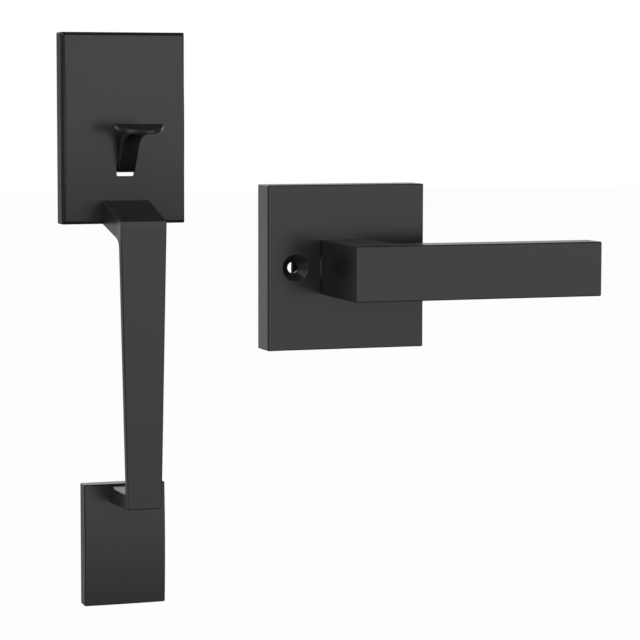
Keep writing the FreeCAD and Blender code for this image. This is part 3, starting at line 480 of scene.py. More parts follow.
class Graph:
    """A node tree that is built from Python."""

    def __init__(self, tree: bpy.types.NodeTree) -> None:
        """Empties the tree and takes it over."""
        self.tree = tree
        tree.nodes.clear()

    def node(self, kind: str, inputs: dict[Any, Any], **settings: Any) -> bpy.types.Node:
        """Adds a node.

        Args:
            kind: The node's type.
            inputs: Values, terms or lists of terms by the input's name or number.
            settings: The node's own settings, which are set first.

        Returns:
            The new node.
        """
        made = self.tree.nodes.new(kind)
        for name, value in settings.items():
            setattr(made, name, value)
        for key, value in inputs.items():
            socket = made.inputs[key]
            for one in value if isinstance(value, list) else [value]:
                if isinstance(one, Term):
                    self.tree.links.new(one.socket, socket)
                else:
                    socket.default_value = one
        return made

    def term(self, kind: str, inputs: dict[Any, Any], output: Any = 0, **settings: Any) -> Term:
        """Adds a node and returns one of its outputs."""
        return Term(self, self.node(kind, inputs, **settings).outputs[output])

    def place(self) -> Term:
        """The piece's own coordinates; in the world, the direction that is looked in."""
        return self.term("ShaderNodeTexCoord", {}, "Object")

    def axes(self) -> list[Term]:
        """The own coordinates as three numbers."""
        parts = self.node("ShaderNodeSeparateXYZ", {0: self.place()})
        return [Term(self, one) for one in parts.outputs]

    def noise(self, scale: float, detail: float = 2.0, stretch: Optional[Triple] = None) -> Term:
        """Noise on the piece's own coordinates.

        Args:
            scale: Features per metre.
            detail: Octaves.
            stretch: Scale of each axis before the noise, for grain.

        Returns:
            The noise's value, about 0.5.
        """
        where = self.place()
        if stretch is not None:
            where = self.term("ShaderNodeMapping", {"Vector": where, "Scale": stretch})
        return self.term("ShaderNodeTexNoise", {"Vector": where, "Scale": scale, "Detail": detail})

    def blend(self, share: Term, first: Sequence[float], second: Sequence[float]) -> Term:
        """A colour between two, by a share."""
        inputs = {0: share, 6: (*first, 1.0), 7: (*second, 1.0)}
        return self.term("ShaderNodeMix", inputs, 2, data_type="RGBA")

    def relief(self, height: Term, distance: float, strength: float) -> Term:
        """A bump from a height."""
        inputs = {"Height": height, "Distance": distance, "Strength": strength}
        return self.term("ShaderNodeBump", inputs)

    def seen(self, share: float) -> Term:
        """A share where the camera looks at it, and 1 through glass."""
        path = self.node("ShaderNodeLightPath", {})
        camera = Term(self, path.outputs["Is Camera Ray"]) * share
        return camera.largest(Term(self, path.outputs["Is Transmission Ray"]))


def new_material(name: str, surface: Callable[[Graph], Term]) -> bpy.types.Material:
    """A material whose shader a function adds to its graph."""
    material = bpy.data.materials.new(name)
    material.use_nodes = True
    graph = Graph(material.node_tree)
    graph.node("ShaderNodeOutputMaterial", {"Surface": surface(graph)})
    return material


@dataclass(frozen=True)
class SatinCoat:
    """Satin black coat on die-cast zinc: dark, faintly uneven, with a very fine grain."""

    dark: Triple = (0.0056, 0.0056, 0.0059)
    light: Triple = (0.0084, 0.0084, 0.0087)
    roughness: float = 0.24
    flow_roughness: float = 0.06
    grain_roughness: float = 0.048
    ior: float = 1.63
    flow_per_metre: float = 38.0
    flow_detail: float = 3.0
    grain_per_metre: float = 2600.0
    fine_per_metre: float = 598.0
    coarse_share: float = 0.7
    grain_depth: float = 0.00002
    grain_strength: float = 0.35

    def surface(self, graph: Graph) -> Term:
        """The shader."""
        flow = graph.noise(self.flow_per_metre, self.flow_detail)
        grain = graph.noise(self.grain_per_metre)
        fine = graph.noise(self.fine_per_metre)
        rest = 1.0 - self.coarse_share
        share = (flow * self.coarse_share + grain * rest).clamp()
        rough = self.roughness + (flow - 0.5) * self.flow_roughness
        height = grain * self.coarse_share + fine * rest
        return graph.term("ShaderNodeBsdfPrincipled", {
            "Base Color": graph.blend(share, self.dark, self.light),
            "Roughness": rough + (grain - 0.5) * self.grain_roughness,
            "Normal": graph.relief(height, self.grain_depth, self.grain_strength),
            "IOR": self.ior,
        })


@dataclass(frozen=True)
class PlatedSteel:
    """Bare or plated steel with drawing marks and handling stains."""

    clean: Triple
    stained: Triple
    roughness: float
    metallic: float = 1.0
    marks: Triple = (1.0, 0.06, 1.0)
    marks_per_metre: float = 1900.0
    marks_detail: float = 3.0
    marks_depth: float = 0.00003
    marks_strength: float = 0.4
    marks_share: float = 0.4
    marks_roughness: float = 0.18
    stain_per_metre: float = 90.0
    stain_detail: float = 4.0
    stain_start: float = 0.35
    stain_share: float = 1.08
    stain_roughness: float = 0.12

    def surface(self, graph: Graph) -> Term:
        """The shader."""
        marks = graph.noise(self.marks_per_metre, self.marks_detail, self.marks)
        stain = graph.noise(self.stain_per_metre, self.stain_detail)
        share = (stain - self.stain_start) * self.stain_share + marks * self.marks_share
        rough = self.roughness + (marks - 0.5) * self.marks_roughness
        return graph.term("ShaderNodeBsdfPrincipled", {
            "Base Color": graph.blend(share.clamp(), self.clean, self.stained),
            "Metallic": self.metallic,
            "Roughness": rough + (stain - 0.5) * self.stain_roughness,
            "Normal": graph.relief(marks, self.marks_depth, self.marks_strength),
        })


def make_finishes() -> Finishes:
    """The four finishes by slot."""
    zinc = PlatedSteel((0.66, 0.67, 0.68), (0.5, 0.5, 0.47), 0.34)
    dark = PlatedSteel((0.045, 0.045, 0.047), (0.03, 0.03, 0.031), 0.5, metallic=0.35)
    spring = PlatedSteel((0.36, 0.36, 0.37), (0.25, 0.25, 0.26), 0.3)
    return {
        Coat.BLACK: new_material("satin_black_coat", SatinCoat().surface),
        Coat.ZINC: new_material("zinc_plate", zinc.surface),
        Coat.DARK_STEEL: new_material("black_phosphate", dark.surface),
        Coat.SPRING: new_material("spring_steel", spring.surface),
    }


# Node trees for what repeats


class Sprig(Graph):
    """A Geometry Nodes tree with named inputs, grown at points of the door face."""

    def __init__(self, name: str, finish: bpy.types.Material) -> None:
        """Starts a tree with a geometry input and output."""
        super().__init__(bpy.data.node_groups.new(name, "GeometryNodeTree"))
        self.finish = finish
        self.keys: dict[str, str] = {}
        for way in ("INPUT", "OUTPUT"):
            self.tree.interface.new_socket(
                "Geometry", in_out=way, socket_type="NodeSocketGeometry"
            )
        self.entry = self.tree.nodes.new("NodeGroupInput")
        self.exit = self.tree.nodes.new("NodeGroupOutput")

    def number(self, name: str, value: float) -> Term:
        """Adds a named input, for whole numbers if its value is one."""
        kind = "NodeSocketInt" if isinstance(value, int) else "NodeSocketFloat"
        made = self.tree.interface.new_socket(name, in_out="INPUT", socket_type=kind)
        made.default_value = value
        self.keys[name] = made.identifier
        return Term(self, self.entry.outputs[name])

    def size(self, name: str, millimetres: float) -> Term:
        """Adds a named length."""
        return self.number(name, millimetres * MM)

    def vector(self, x: Any, y: Any, z: Any) -> Term:
        """Three numbers as a vector."""
        return self.term("ShaderNodeCombineXYZ", {0: x, 1: y, 2: z})

    def lift(self, shape: Term, height: Any) -> Term:
        """Moves a shape up."""
        offset = self.vector(0.0, 0.0, height)
        return self.term("GeometryNodeTransform", {"Geometry": shape, "Translation": offset})

    def bar(self, sides: Any, radius: Any, length: Any, middle: Any) -> Term:
        """A round bar about the upright axis."""
        inputs = {"Vertices": sides, "Radius": radius, "Depth": length}
        return self.lift(self.term("GeometryNodeMeshCylinder", inputs), middle)

    def cone(self, sides: Any, low: Any, high: Any, depth: Any, start: Any) -> Term:
        """A cut-off cone about the upright axis, by its low and high radius."""
        inputs = {"Vertices": sides, "Radius Top": high, "Radius Bottom": low, "Depth": depth}
        return self.lift(self.term("GeometryNodeMeshCone", inputs), start)

    def join(self, shapes: list[Term]) -> Term:
        """Several shapes as one geometry."""
        return self.term("GeometryNodeJoinGeometry", {0: shapes})

    def circle(self, steps: int, radius: Any) -> Term:
        """A circle as a curve."""
        inputs = {"Resolution": steps, "Radius": radius}
        return self.term("GeometryNodeCurvePrimitiveCircle", inputs, mode="RADIUS")

    def wire(self, steps: int, turns: Any, radius: Any, height: Any, profile: Term) -> Term:
        """A coil with closed ends.

        Args:
            steps: Segments in each turn.
            turns: How many turns.
            radius: From the axis to the wire's middle.
            height: Of the whole coil.
            profile: The wire's outline.

        Returns:
            The coil's mesh.
        """
        path = self.term("GeometryNodeCurveSpiral", {
            "Resolution": steps,
            "Rotations": turns,
            "Start Radius": radius,
            "End Radius": radius,
            "Height": height,
        })
        inputs = {"Curve": path, "Profile Curve": profile, "Fill Caps": True}
        return self.term("GeometryNodeCurveToMesh", inputs)

    def close(self, shape: Term, turn: Vector) -> None:
        """Ends the tree in real geometry with its finish, a shape at each point."""
        points = Term(self, self.entry.outputs[0])
        inputs = {"Points": points, "Instance": shape, "Rotation": turn}
        spread = self.term("GeometryNodeInstanceOnPoints", inputs)
        real = self.term("GeometryNodeRealizeInstances", {0: spread})
        dressed = self.term("GeometryNodeSetMaterial", {0: real, "Material": self.finish})
        self.tree.links.new(dressed.socket, self.exit.inputs[0])

    def grow(
        self, name: str, places: Sequence[Vector], sizes: Optional[dict[str, float]] = None
    ) -> Piece:
        """Runs the tree at points and keeps the result as a plain mesh.

        Args:
            name: The piece's name.
            places: Points in millimetres.
            sizes: Lengths that differ from the inputs' defaults, in millimetres.

        Returns:
            The new piece.
        """
        mesh = bpy.data.meshes.new(name)
        mesh.from_pydata([tuple(place * MM) for place in places], [], [])
        piece = Piece(name, mesh)
        growth = piece.made.modifiers.new("growth", "NODES")
        growth.node_group = self.tree
        for key, value in (sizes or {}).items():
            growth[self.keys[key]] = value * MM
        return piece.settle().clean()


class ScrewTree(Sprig):
    """Countersunk screw with a cross recess and a thread, its head's face at height 0."""

    recess = ((1.15, 0.24, 1.1), (0.24, 1.15, 1.12))  # in head radii and head depths
    thread_steps = 16

    def __init__(self, finish: bpy.types.Material) -> None:
        """Builds the tree."""
        super().__init__("flat_screw", finish)
        head = self.size("Head Radius", 2.8)
        depth = self.size("Head Depth", 1.4)
        shank = self.size("Shank Radius", 1.45)
        length = self.size("Length", 6.5)
        sides = self.number("Sides", 32)
        pitch = self.size("Thread Pitch", 0.5)
        thread = self.size("Thread Depth", 0.22)
        cross = []
        for wide, high, deep in self.recess:
            size = self.vector(head * wide, head * high, depth * deep)
            cross.append(self.term("GeometryNodeMeshCube", {"Size": size}))
        crown = self.term(
            "GeometryNodeMeshBoolean",
            {0: self.cone(sides, shank, head, depth, -depth), 1: cross},
            operation="DIFFERENCE",
            solver="EXACT",
        )
        core, run = shank - thread, length - depth
        stem = self.bar(sides, core, run, (depth + length) * -0.5)
        ridge = self.wire(self.thread_steps, run / pitch, core, run, self.circle(4, thread))
        self.close(self.join([crown, stem, self.lift(ridge, -length)]), LAID)


class SleeveTree(Sprig):
    """Tapped sleeve with a spigot and a chamfered mouth, as one closed turned shape."""

    steps = 48

    def __init__(self, finish: bpy.types.Material) -> None:
        """Builds the tree."""
        super().__init__("tapped_sleeve", finish)
        radius = self.size("Radius", 2.75)
        bore = self.size("Bore Radius", 1.65)
        length = self.size("Length", 4.0)
        spigot = self.size("Spigot Radius", 2.2)
        foot = self.size("Spigot Length", 1.6)
        chamfer = self.size("Chamfer", 0.35)
        wall, web, rise, down = radius - bore, spigot - bore, length - chamfer, -foot
        corners = [
            (0.0, down), (web, down), (web, 0.0), (wall, 0.0),
            (wall, rise), (wall - chamfer, length), (chamfer, length), (0.0, rise),
        ]
        points = [self.vector(reach, height * -1.0, 0.0) for reach, height in corners]
        lines = [
            self.term("GeometryNodeCurvePrimitiveLine", {"Start": start, "End": end})
            for start, end in zip(points[1:] + points[:1], points)
        ]
        inputs = {"Curve": self.circle(self.steps, bore), "Profile Curve": self.join(lines)}
        self.close(self.term("GeometryNodeCurveToMesh", inputs), LAID)


class RivetTree(Sprig):
    """Shouldered rivet: pin, shoulder and domed head, standing on its foot."""

    head_taper = 0.75

    def __init__(self, finish: bpy.types.Material) -> None:
        """Builds the tree."""
        super().__init__("shoulder_rivet", finish)
        pin = self.size("Pin Radius", 1.45)
        total = self.size("Pin Length", 11.9)
        shoulder = self.size("Shoulder Radius", 2.4)
        rise = self.size("Shoulder Length", 7.7)
        head = self.size("Head Radius", 2.6)
        thick = self.size("Head Thickness", 0.9)
        start = self.size("Head Start", 10.3)
        foot = self.size("Foot", 1.6)
        sides = self.number("Sides", 32)
        parts = [
            self.bar(sides, pin, total, total * 0.5 - foot),
            self.bar(sides, shoulder, rise, rise * 0.5),
            self.cone(sides, head, head * self.head_taper, thick, start),
        ]
        self.close(self.join(parts), LAID)


class CoilTree(Sprig):
    """Wire coil about the upright axis."""

    steps = 40
    wire_sides = 10

    def __init__(self, finish: bpy.types.Material) -> None:
        """Builds the tree."""
        super().__init__("wire_coil", finish)
        radius = self.size("Coil Radius", 1.6)
        wire = self.size("Wire Radius", 0.25)
        height = self.size("Height", 7.9)
        turns = self.number("Turns", 6.0)
        coil = self.wire(self.steps, turns, radius, height, self.circle(self.wire_sides, wire))
        self.close(coil, UPRIGHT)


# Outside half


@dataclass
class Plate:
    """A hollow cast plate, chamfered round its face."""

    half_x: float
    top: float
    bottom: float
    middle_x: float = 0.0
    corner: float = 0.6

    @property
    def centre(self) -> Pair:
        """Middle of the plate as X and Z."""
        return (self.middle_x, (self.top + self.bottom) / 2)

    def outline(self, inset: float, corner: Optional[float] = None) -> Outline:
        """The plate's outline, drawn in by an inset, with its own or another corner radius."""
        radius = self.corner if corner is None else corner
        half_z = (self.top - self.bottom) / 2
        return rounded_outline(self.half_x - inset, half_z - inset, radius, self.centre)

    def front_edge(self, shell: Shell, face: Depth, inset: float = 0.0) -> None:
        """Adds the chamfer from the plate's side to its face."""
        shell.ring(self.outline(inset), lambda x, z: face(x, z) + EDGE)
        shell.ring(self.outline(inset + EDGE, max(self.corner - EDGE, TIGHT)), face)


@dataclass
class UpperEscutcheon(Plate):
    """Stepped plate with a crowned face, the thumb's slot and a hollow back."""

    half_x: float = 28.5
    top: float = 40.0
    bottom: float = -45.7
    base: float = 7.9
    step: float = 1.0
    face: float = 12.6
    face_steps: int = 14
    back_steps: int = 10
    side_wall: float = 2.6
    face_wall: float = 2.4
    lip: float = 0.8
    rebate: float = 1.6
    slot_half: float = 4.15
    slot_top: float = -19.3
    slot_bottom: float = -24.2
    slot_corner: float = 0.7
    slot_ease: float = 0.2
    boss_radius: float = 3.4
    boss_inset: float = 4.2
    boss_root: float = 1.5
    pivot: Pair = (-6.5, -19.6)
    lug_inner: float = 8.2
    lug_outer: float = 10.6
    lug_radius: float = 3.3
    lug_root: float = 1.4

    def slot(self, ease: float) -> Outline:
        """The thumb slot's outline, widened by an ease."""
        half_z = (self.slot_top - self.slot_bottom) / 2
        centre = (0.0, (self.slot_top + self.slot_bottom) / 2)
        return rounded_outline(
            self.slot_half + ease, half_z + ease, self.slot_corner + ease, centre
        )

    def build(self, finishes: Finishes) -> None:
        """Makes the casting."""
        front = dome(self.face, self.centre)
        back = dome(self.face, self.centre, self.face_wall)
        slope = self.step / 2
        shell = Shell().ring(self.outline(0.0), level(0.0))
        shell.ring(self.outline(0.0), level(slope - self.base))
        shell.ring(self.outline(self.step), level(-slope - self.base))
        self.front_edge(shell, front, self.step)
        start = self.outline(self.step + EDGE, TIGHT)
        shell.across(start, self.slot(self.slot_ease), front, self.face_steps)
        shell.ring(self.slot(0.0), lambda x, z: front(x, z) + self.slot_ease)
        shell.ring(self.slot(0.0), back)
        cavity, lip = self.outline(self.side_wall), self.outline(self.lip)
        shell.across(self.slot(0.0), cavity, back, self.back_steps)
        shell.ring(cavity, level(-self.rebate)).ring(lip, level(-self.rebate))
        piece = shell.ring(lip, level(0.0)).loop().build("upper_plate")
        for tool in self._inside():
            piece.join(tool)
        piece.hand_over("upper_escutcheon", finishes)

    def _inside(self) -> list[Piece]:
        """Screw bosses and pivot lugs in the hollow."""
        tools = []
        inset = self.side_wall + self.boss_inset
        boss = (self.boss_radius, -self.base - self.boss_root, -self.rebate)
        y, z = self.pivot
        ear = arc_points((y, z), self.lug_radius, -90.0, 90.0, steps=14)
        root = -self.face + self.lug_root
        ear += [(root, z + self.lug_radius), (root, z - self.lug_radius)]
        for sign in (-1, 1):
            for height in (self.top - inset, self.bottom + inset):
                place = (sign * (self.half_x - inset), height)
                tools.append(post("boss", *boss, place, steps=32))
            low, high = sorted((sign * self.lug_inner, sign * self.lug_outer))
            tools.append(prism("lug", ear, "X", low, high))
        return tools


@dataclass
class ThumbPiece:
    """Half-moon pad on a curved neck, with its barrel and lifting tail."""

    pad_back: Pair = (-34.4, -0.4)
    pad_radius: float = 11.15
    pad_thick: float = 2.0
    pad_ease: float = 0.45
    pad_steps: int = 4
    pad_round: int = 48
    pad_tilt: float = 14.0
    neck_half: float = 3.75
    neck_ease: float = 0.35
    neck_steps: int = 4
    neck_tip: Pair = (-40.0, -2.8)
    pivot: Pair = (-6.5, -19.6)
    barrel_radius: float = 2.8
    barrel_half: float = 7.9
    tail_start: float = -12.8
    tail_end: float = 11.5
    neck_front: tuple[Pair, ...] = (
        (-12.9, -22.3), (-14.5, -20.8), (-16.2, -18.8), (-17.7, -16.6), (-19.1, -14.5),
        (-20.5, -12.3), (-21.7, -10.5), (-23.2, -8.7), (-25.2, -7.4), (-27.9, -6.4),
        (-31.5, -5.6), (-36.0, -4.7), (-40.0, -3.8),
    )
    neck_back: tuple[Pair, ...] = (
        (-12.75, -19.6), (-12.75, -17.9), (-13.1, -15.6), (-13.9, -13.4), (-15.1, -11.3),
        (-16.7, -9.2), (-18.8, -7.1), (-21.5, -5.0), (-24.8, -3.2), (-28.8, -1.8), (-34.4, -0.75),
    )

    def build(self, finishes: Finishes) -> None:
        """Makes the casting."""
        barrel = circle(self.pivot, self.barrel_radius, steps=24)
        piece = self._neck().join(self._pad())
        piece.join(prism("barrel", barrel, "X", -self.barrel_half, self.barrel_half))
        piece.hand_over("thumbpiece", finishes, Body.THUMB, angle=40.0)

    def _neck(self) -> Piece:
        """Neck and tail as one bent plate."""
        under = self.pivot[1] - self.barrel_radius
        side = smooth_path(self.neck_front, self.neck_steps) + [self.neck_tip]
        side += reversed(smooth_path(self.neck_back, self.neck_steps))
        side += [(self.tail_end, self.pivot[1]), (self.tail_end, under), (self.tail_start, under)]
        neck = prism("thumb_pad", side, "X", -self.neck_half, self.neck_half)
        return neck.soften(self.neck_ease)

    def _pad(self) -> Piece:
        """The half-moon that the thumb presses, its rim rounded below and above."""
        shell, ease = Shell(), self.pad_ease
        quarter = [math.radians(90.0 * step / self.pad_steps) for step in range(self.pad_steps + 1)]
        for turn in quarter:
            height = ease * (1.0 - math.cos(turn)) - self.pad_thick
            self._half_moon(shell, ease * (1.0 - math.sin(turn)), height)
        for turn in quarter:
            height = -ease * (1.0 - math.sin(turn))
            self._half_moon(shell, ease * (1.0 - math.cos(turn)), height)
        pad = shell.cap_first().cap_last().build("pad")
        tilt = Matrix.Rotation(math.radians(self.pad_tilt), 4, "X")
        away = Vector((0.0, *self.pad_back)) * MM
        pad.made.data.transform(Matrix.Translation(away) @ tilt)
        return pad

    def _half_moon(self, shell: Shell, inset: float, height: float) -> None:
        """A ring of the pad, drawn in all round but with sharp tips."""
        radius = self.pad_radius - inset
        lift = math.degrees(math.asin(inset / radius))
        ring = arc_points((0.0, 0.0), radius, 180.0 + lift, 360.0 - lift, self.pad_round)
        shell.place([Vector((x, y, height)) for x, y in ring])


@dataclass
class Grip:
    """Tapering bar between two arms, in one casting.

    An arm's sizes at the plate and at the bar are its top, its underside and half its width.
    """

    front: float = -42.6
    thick: float = 4.2
    top: float = -42.7
    bottom: float = -170.5
    top_half: float = 10.5
    bottom_half: float = 7.75
    upper_plate: float = -11.44
    upper_root: Triple = (-35.1, -45.6, 11.0)
    upper_end: Triple = (-42.7, -52.4, 10.5)
    upper_fillet: float = 4.0
    lower_plate: float = -4.15
    lower_root: Triple = (-164.95, -172.8, 6.8)
    lower_end: Triple = (-163.7, -170.5, 7.75)
    lower_fillet: float = 2.5
    width_run: float = 2.0
    upper_stations: tuple[float, ...] = (-9.4, -16.0, -22.0, -28.0)
    upper_bend: tuple[float, ...] = (-33.0, -36.0, -39.0, -41.0)
    bar_start: tuple[float, ...] = (-45.5, -49.0, -52.5, -56.0)
    bar_stations: tuple[float, ...] = (-70.0, -85.0, -100.0, -115.0, -130.0, -145.0)
    bar_end: tuple[float, ...] = (-160.5, -163.5, -166.5, -169.0)
    lower_bend: tuple[float, ...] = (-41.0, -39.5, -38.0, -36.0)
    lower_stations: tuple[float, ...] = (-28.0, -18.0, -6.0)

    @property
    def back(self) -> float:
        """Depth of the bar's back."""
        return self.front + self.thick

    def upper(self, y: float) -> list[float]:
        """The upper arm's sizes at a depth."""
        share = (self.upper_plate - y) / (self.upper_plate - self.front)
        return [a + (b - a) * share for a, b in zip(self.upper_root, self.upper_end)]

    def lower(self, y: float) -> list[float]:
        """The lower arm's sizes at a depth."""
        share = (self.lower_plate - y) / (self.lower_plate - self.front)
        return [a + (b - a) * share for a, b in zip(self.lower_root, self.lower_end)]

    @staticmethod
    def _fillet(slope: float, corner: Vector, radius: float, upward: bool) -> Outline:
        """Arc between an arm's inner side and the bar's back.

        Args:
            slope: Height gained per millimetre of depth along the arm's inner side.
            corner: Where the two sides would meet, as Y and Z.
            radius: The arc's radius.
            upward: True at the lower arm, where the bar goes up from the corner.

        Returns:
            Y and Z pairs from the arm to the bar.
        """
        along = Vector((1.0, slope)).normalized()
        down = Vector((0.0, 1.0 if upward else -1.0))
        half = along.angle(down) / 2
        reach = radius / math.tan(half)
        first, last = corner + along * reach, corner + down * reach
        centre = corner + (along + down).normalized() * (radius / math.sin(half))
        shares = [step / FILLET_STEPS for step in range(FILLET_STEPS + 1)]
        chords = [first.lerp(last, share) - centre for share in shares]
        return [tuple(centre + chord.normalized() * radius) for chord in chords]

    def _upper_sides(self) -> list[Side]:
        """Outer and inner side points from the upper plate to the bar."""
        sides = [tuple((y, z) for z in self.upper(y)[:2]) for y in self.upper_stations]
        slope = (self.upper_root[1] - self.upper_end[1]) / (self.upper_plate - self.front)
        corner = Vector((self.back, self.upper(self.back)[1]))
        outer = [(y, self.upper(y)[0]) for y in self.upper_bend] + [(self.front, self.top)]
        outer += [(self.front, z) for z in self.bar_start]
        return sides + list(zip(outer, self._fillet(slope, corner, self.upper_fillet, False)))

    def _lower_sides(self) -> list[Side]:
        """Outer and inner side points from the bar to the lower plate."""
        slope = (self.lower_root[0] - self.lower_end[0]) / (self.lower_plate - self.front)
        corner = Vector((self.back, self.lower(self.back)[0]))
        arc = self._fillet(slope, corner, self.lower_fillet, True)
        outer = [(self.front, z) for z in self.bar_end] + [(self.front, self.bottom)]
        outer += [(y, self.lower(y)[1]) for y in self.lower_bend]
        sides = list(zip(outer, reversed(arc)))
        return sides + [tuple((y, z) for z in self.lower(y)[1::-1]) for y in self.lower_stations]

    def _half(self, y: float, z: float, arm: Optional[Callable[[float], list[float]]]) -> float:
        """Half the width at a place: the bar's, and behind the bar the arm's."""
        share = (z - self.top) / (self.bottom - self.top)
        bar = self.top_half + (self.bottom_half - self.top_half) * share
        if arm is None:
            return bar
        return bar + (arm(y)[2] - bar) * min(max((y - self.back) / self.width_run, 0.0), 1.0)

    def build(self, finishes: Finishes) -> None:
        """Makes the casting."""
        bar = [((self.front, z), (self.back, z)) for z in self.bar_stations]
        shell = Shell()
        for sides, arm in (
            (self._upper_sides(), self.upper), (bar, None), (self._lower_sides(), self.lower)
        ):
            for outer, inner in sides:
                wide, slim = self._half(*outer, arm), self._half(*inner, arm)
                shell.place([
                    Vector((-wide, *outer)), Vector((wide, *outer)),
                    Vector((slim, *inner)), Vector((-slim, *inner)),
                ])
        piece = shell.cap_first().cap_last().build("grip_bar").soften()
        piece.hand_over("grip", finishes)


@dataclass
class LowerEscutcheon(Plate):
    """Crowned plate at the grip's foot, with a hollow back and a boss."""

    half_x: float = 18.9
    top: float = -163.9
    bottom: float = -219.6
    face: float = 8.3
    face_steps: int = 9
    back_steps: int = 6
    side_wall: float = 2.4
    face_wall: float = 2.2
    ridge_half: float = 1.5
    boss_radius: float = 5.6
    boss_root: float = 1.0
    boss_z: float = -196.0

    def build(self, finishes: Finishes) -> None:
        """Makes the casting."""
        front = dome(self.face, self.centre)
        back = dome(self.face, self.centre, self.face_wall)
        ridge = self.outline(self.half_x - self.ridge_half, TIGHT)
        rim, cavity = self.outline(0.0), self.outline(self.side_wall)
        middle = self.centre[1]
        shell = Shell().ring(rim, level(0.0))
        self.front_edge(shell, front)
        shell.across(self.outline(EDGE, TIGHT), ridge, front, self.face_steps)
        shell.peak(Vector((0.0, -self.face, middle)))
        hollow = Shell().ring(rim, level(0.0)).ring(cavity, level(0.0)).ring(cavity, back)
        hollow.across(cavity, ridge, back, self.back_steps)
        hollow.peak(Vector((0.0, -self.face + self.face_wall, middle)))
        piece = shell.absorb(hollow).build("lower_plate")
        root, place = -self.face + self.boss_root, (0.0, self.boss_z)
        piece.join(post("boss", self.boss_radius, root, 0.0, place, steps=40))
        piece.hand_over("lower_escutcheon", finishes)


# Inside half


@dataclass
class Rosette(Plate):
    """Square plate with two countersunk bolt holes and the lever's bush."""

    half_x: float = 38.0
    top: float = -29.0
    bottom: float = -105.0
    middle_x: float = INSIDE_AXIS[0]
    thick: float = 14.65
    side_wall: float = 2.4
    face_wall: float = 2.6
    bore: float = 10.95
    bolt_reach: float = 24.8
    bolt_radius: float = 2.65
    bolt_boss: float = 5.2
    bolt_boss_root: float = 1.0
    bolt_boss_length: float = 2.9
    sink_radius: float = 6.15
    sink_flare: float = 0.35
    sink_ahead: float = 0.25
    sink_ease: float = 0.15
    cut_past: float = 1.0
    flange_radius: float = 13.05
    flange_thick: float = 0.85
    flange_ease: float = 0.15
    bush_radius: float = 10.9
    bush_bore: float = 9.55

    def build(self, finishes: Finishes) -> None:
        """Makes the plate and the bush."""
        front = level(-self.thick)
        floor = -self.thick + self.face_wall
        start, cavity = self.outline(EDGE, TIGHT), self.outline(self.side_wall)
        hole = circle_like(start, self.bore, self.centre)
        shell = Shell().ring(self.outline(0.0), level(0.0))
        self.front_edge(shell, front)
        shell.across(start, hole, front, 1).ring(hole, level(floor))
        shell.ring(cavity, level(floor)).ring(cavity, level(0.0))
        piece = shell.loop().build("square_rosette")
        boss = (self.bolt_boss, floor - self.bolt_boss_root, floor + self.bolt_boss_length)
        cutter = [
            (self.sink_radius + self.sink_flare, -self.thick - self.sink_ahead),
            (self.sink_radius - self.sink_ease, -self.thick + self.sink_ease),
            (self.bolt_radius, -self.thick + self.sink_radius - self.bolt_radius),
            (self.bolt_radius, self.cut_past),
        ]
        for side in (-1, 1):
            place = (self.centre[0] + side * self.bolt_reach, self.centre[1])
            piece.join(post("boss", *boss, place, steps=48))
            piece.join(turned("countersink", cutter, place, steps=72), Join.CUT)
        piece.hand_over("rosette", finishes, angle=30.0)
        self._bush(finishes)

    def _bush(self, finishes: Finishes) -> None:
        """Flanged ring round the lever's shank."""
        outer = -self.thick - self.flange_thick
        end = -self.thick + self.face_wall
        profile = [
            (self.bush_bore, outer),
            (self.flange_radius - self.flange_ease, outer),
            (self.flange_radius, outer + self.flange_ease),
            (self.flange_radius, -self.thick),
            (self.bush_radius, -self.thick),
            (self.bush_radius, end),
            (self.bush_bore, end),
        ]
        piece = turned("shank_bush", profile, self.centre, steps=96, solid=False)
        piece.hand_over("rosette_bush", finishes, coat=Coat.DARK_STEEL, angle=30.0)


@dataclass
class Lever:
    """Square hub, straight bar and the shank behind them, in one casting."""

    centre: Pair = INSIDE_AXIS
    hub_half: float = 12.25
    half_height: float = 12.5
    end: float = 211.35
    front: float = -62.0
    thick: float = 15.1
    hub_back: float = -15.6
    inner_round: float = 6.0
    shank_radius: float = 9.5
    shank_root: float = 2.0
    shank_square: float = 6.5
    cam_front: float = -11.75
    shank_end: float = -4.5
    socket: float = 3.85
    socket_depth: float = 27.5
    screw_y: float = -22.0
    screw_radius: float = 2.5
    overlap: float = 1.0

    def build(self, finishes: Finishes) -> None:
        """Makes the casting."""
        left, right = self.centre[0] - self.hub_half, self.centre[0] + self.hub_half
        low, high = self.centre[1] - self.half_height, self.centre[1] + self.half_height
        bar_back = self.front + self.thick
        bend = (right + self.inner_round, bar_back + self.inner_round)
        plan = [(left, self.hub_back), (left, self.front), (self.end, self.front)]
        plan += [(self.end, bar_back)] + arc_points(bend, self.inner_round, 270.0, 180.0, steps=12)
        piece = prism("lever_bar", plan + [(right, self.hub_back)], "Z", low, high).soften()
        shank = (self.shank_radius, self.hub_back - self.shank_root, self.cam_front)
        piece.join(post("shank", *shank, self.centre, steps=64))
        key = self._square("key", self.shank_square, self.cam_front - self.overlap, self.shank_end)
        piece.join(key)
        floor = self.shank_end - self.socket_depth
        piece.join(self._square("socket", self.socket, floor, 0.0), Join.CUT)
        ring = circle((self.centre[0], self.screw_y), self.screw_radius, steps=36)
        piece.join(prism("grub", ring, "Z", low - self.overlap, self.centre[1]), Join.CUT)
        piece.hand_over("lever", finishes, Body.HANDLE, angle=30.0)

    def _square(self, name: str, half: float, start: float, end: float) -> Piece:
        """A square bar on the lever's axis."""
        x, z = self.centre
        corners = [(x - half, z - half), (x + half, z - half), (x + half, z + half)]
        return prism(name, corners + [(x - half, z + half)], "Y", start, end)


# Fixings and works behind the plates


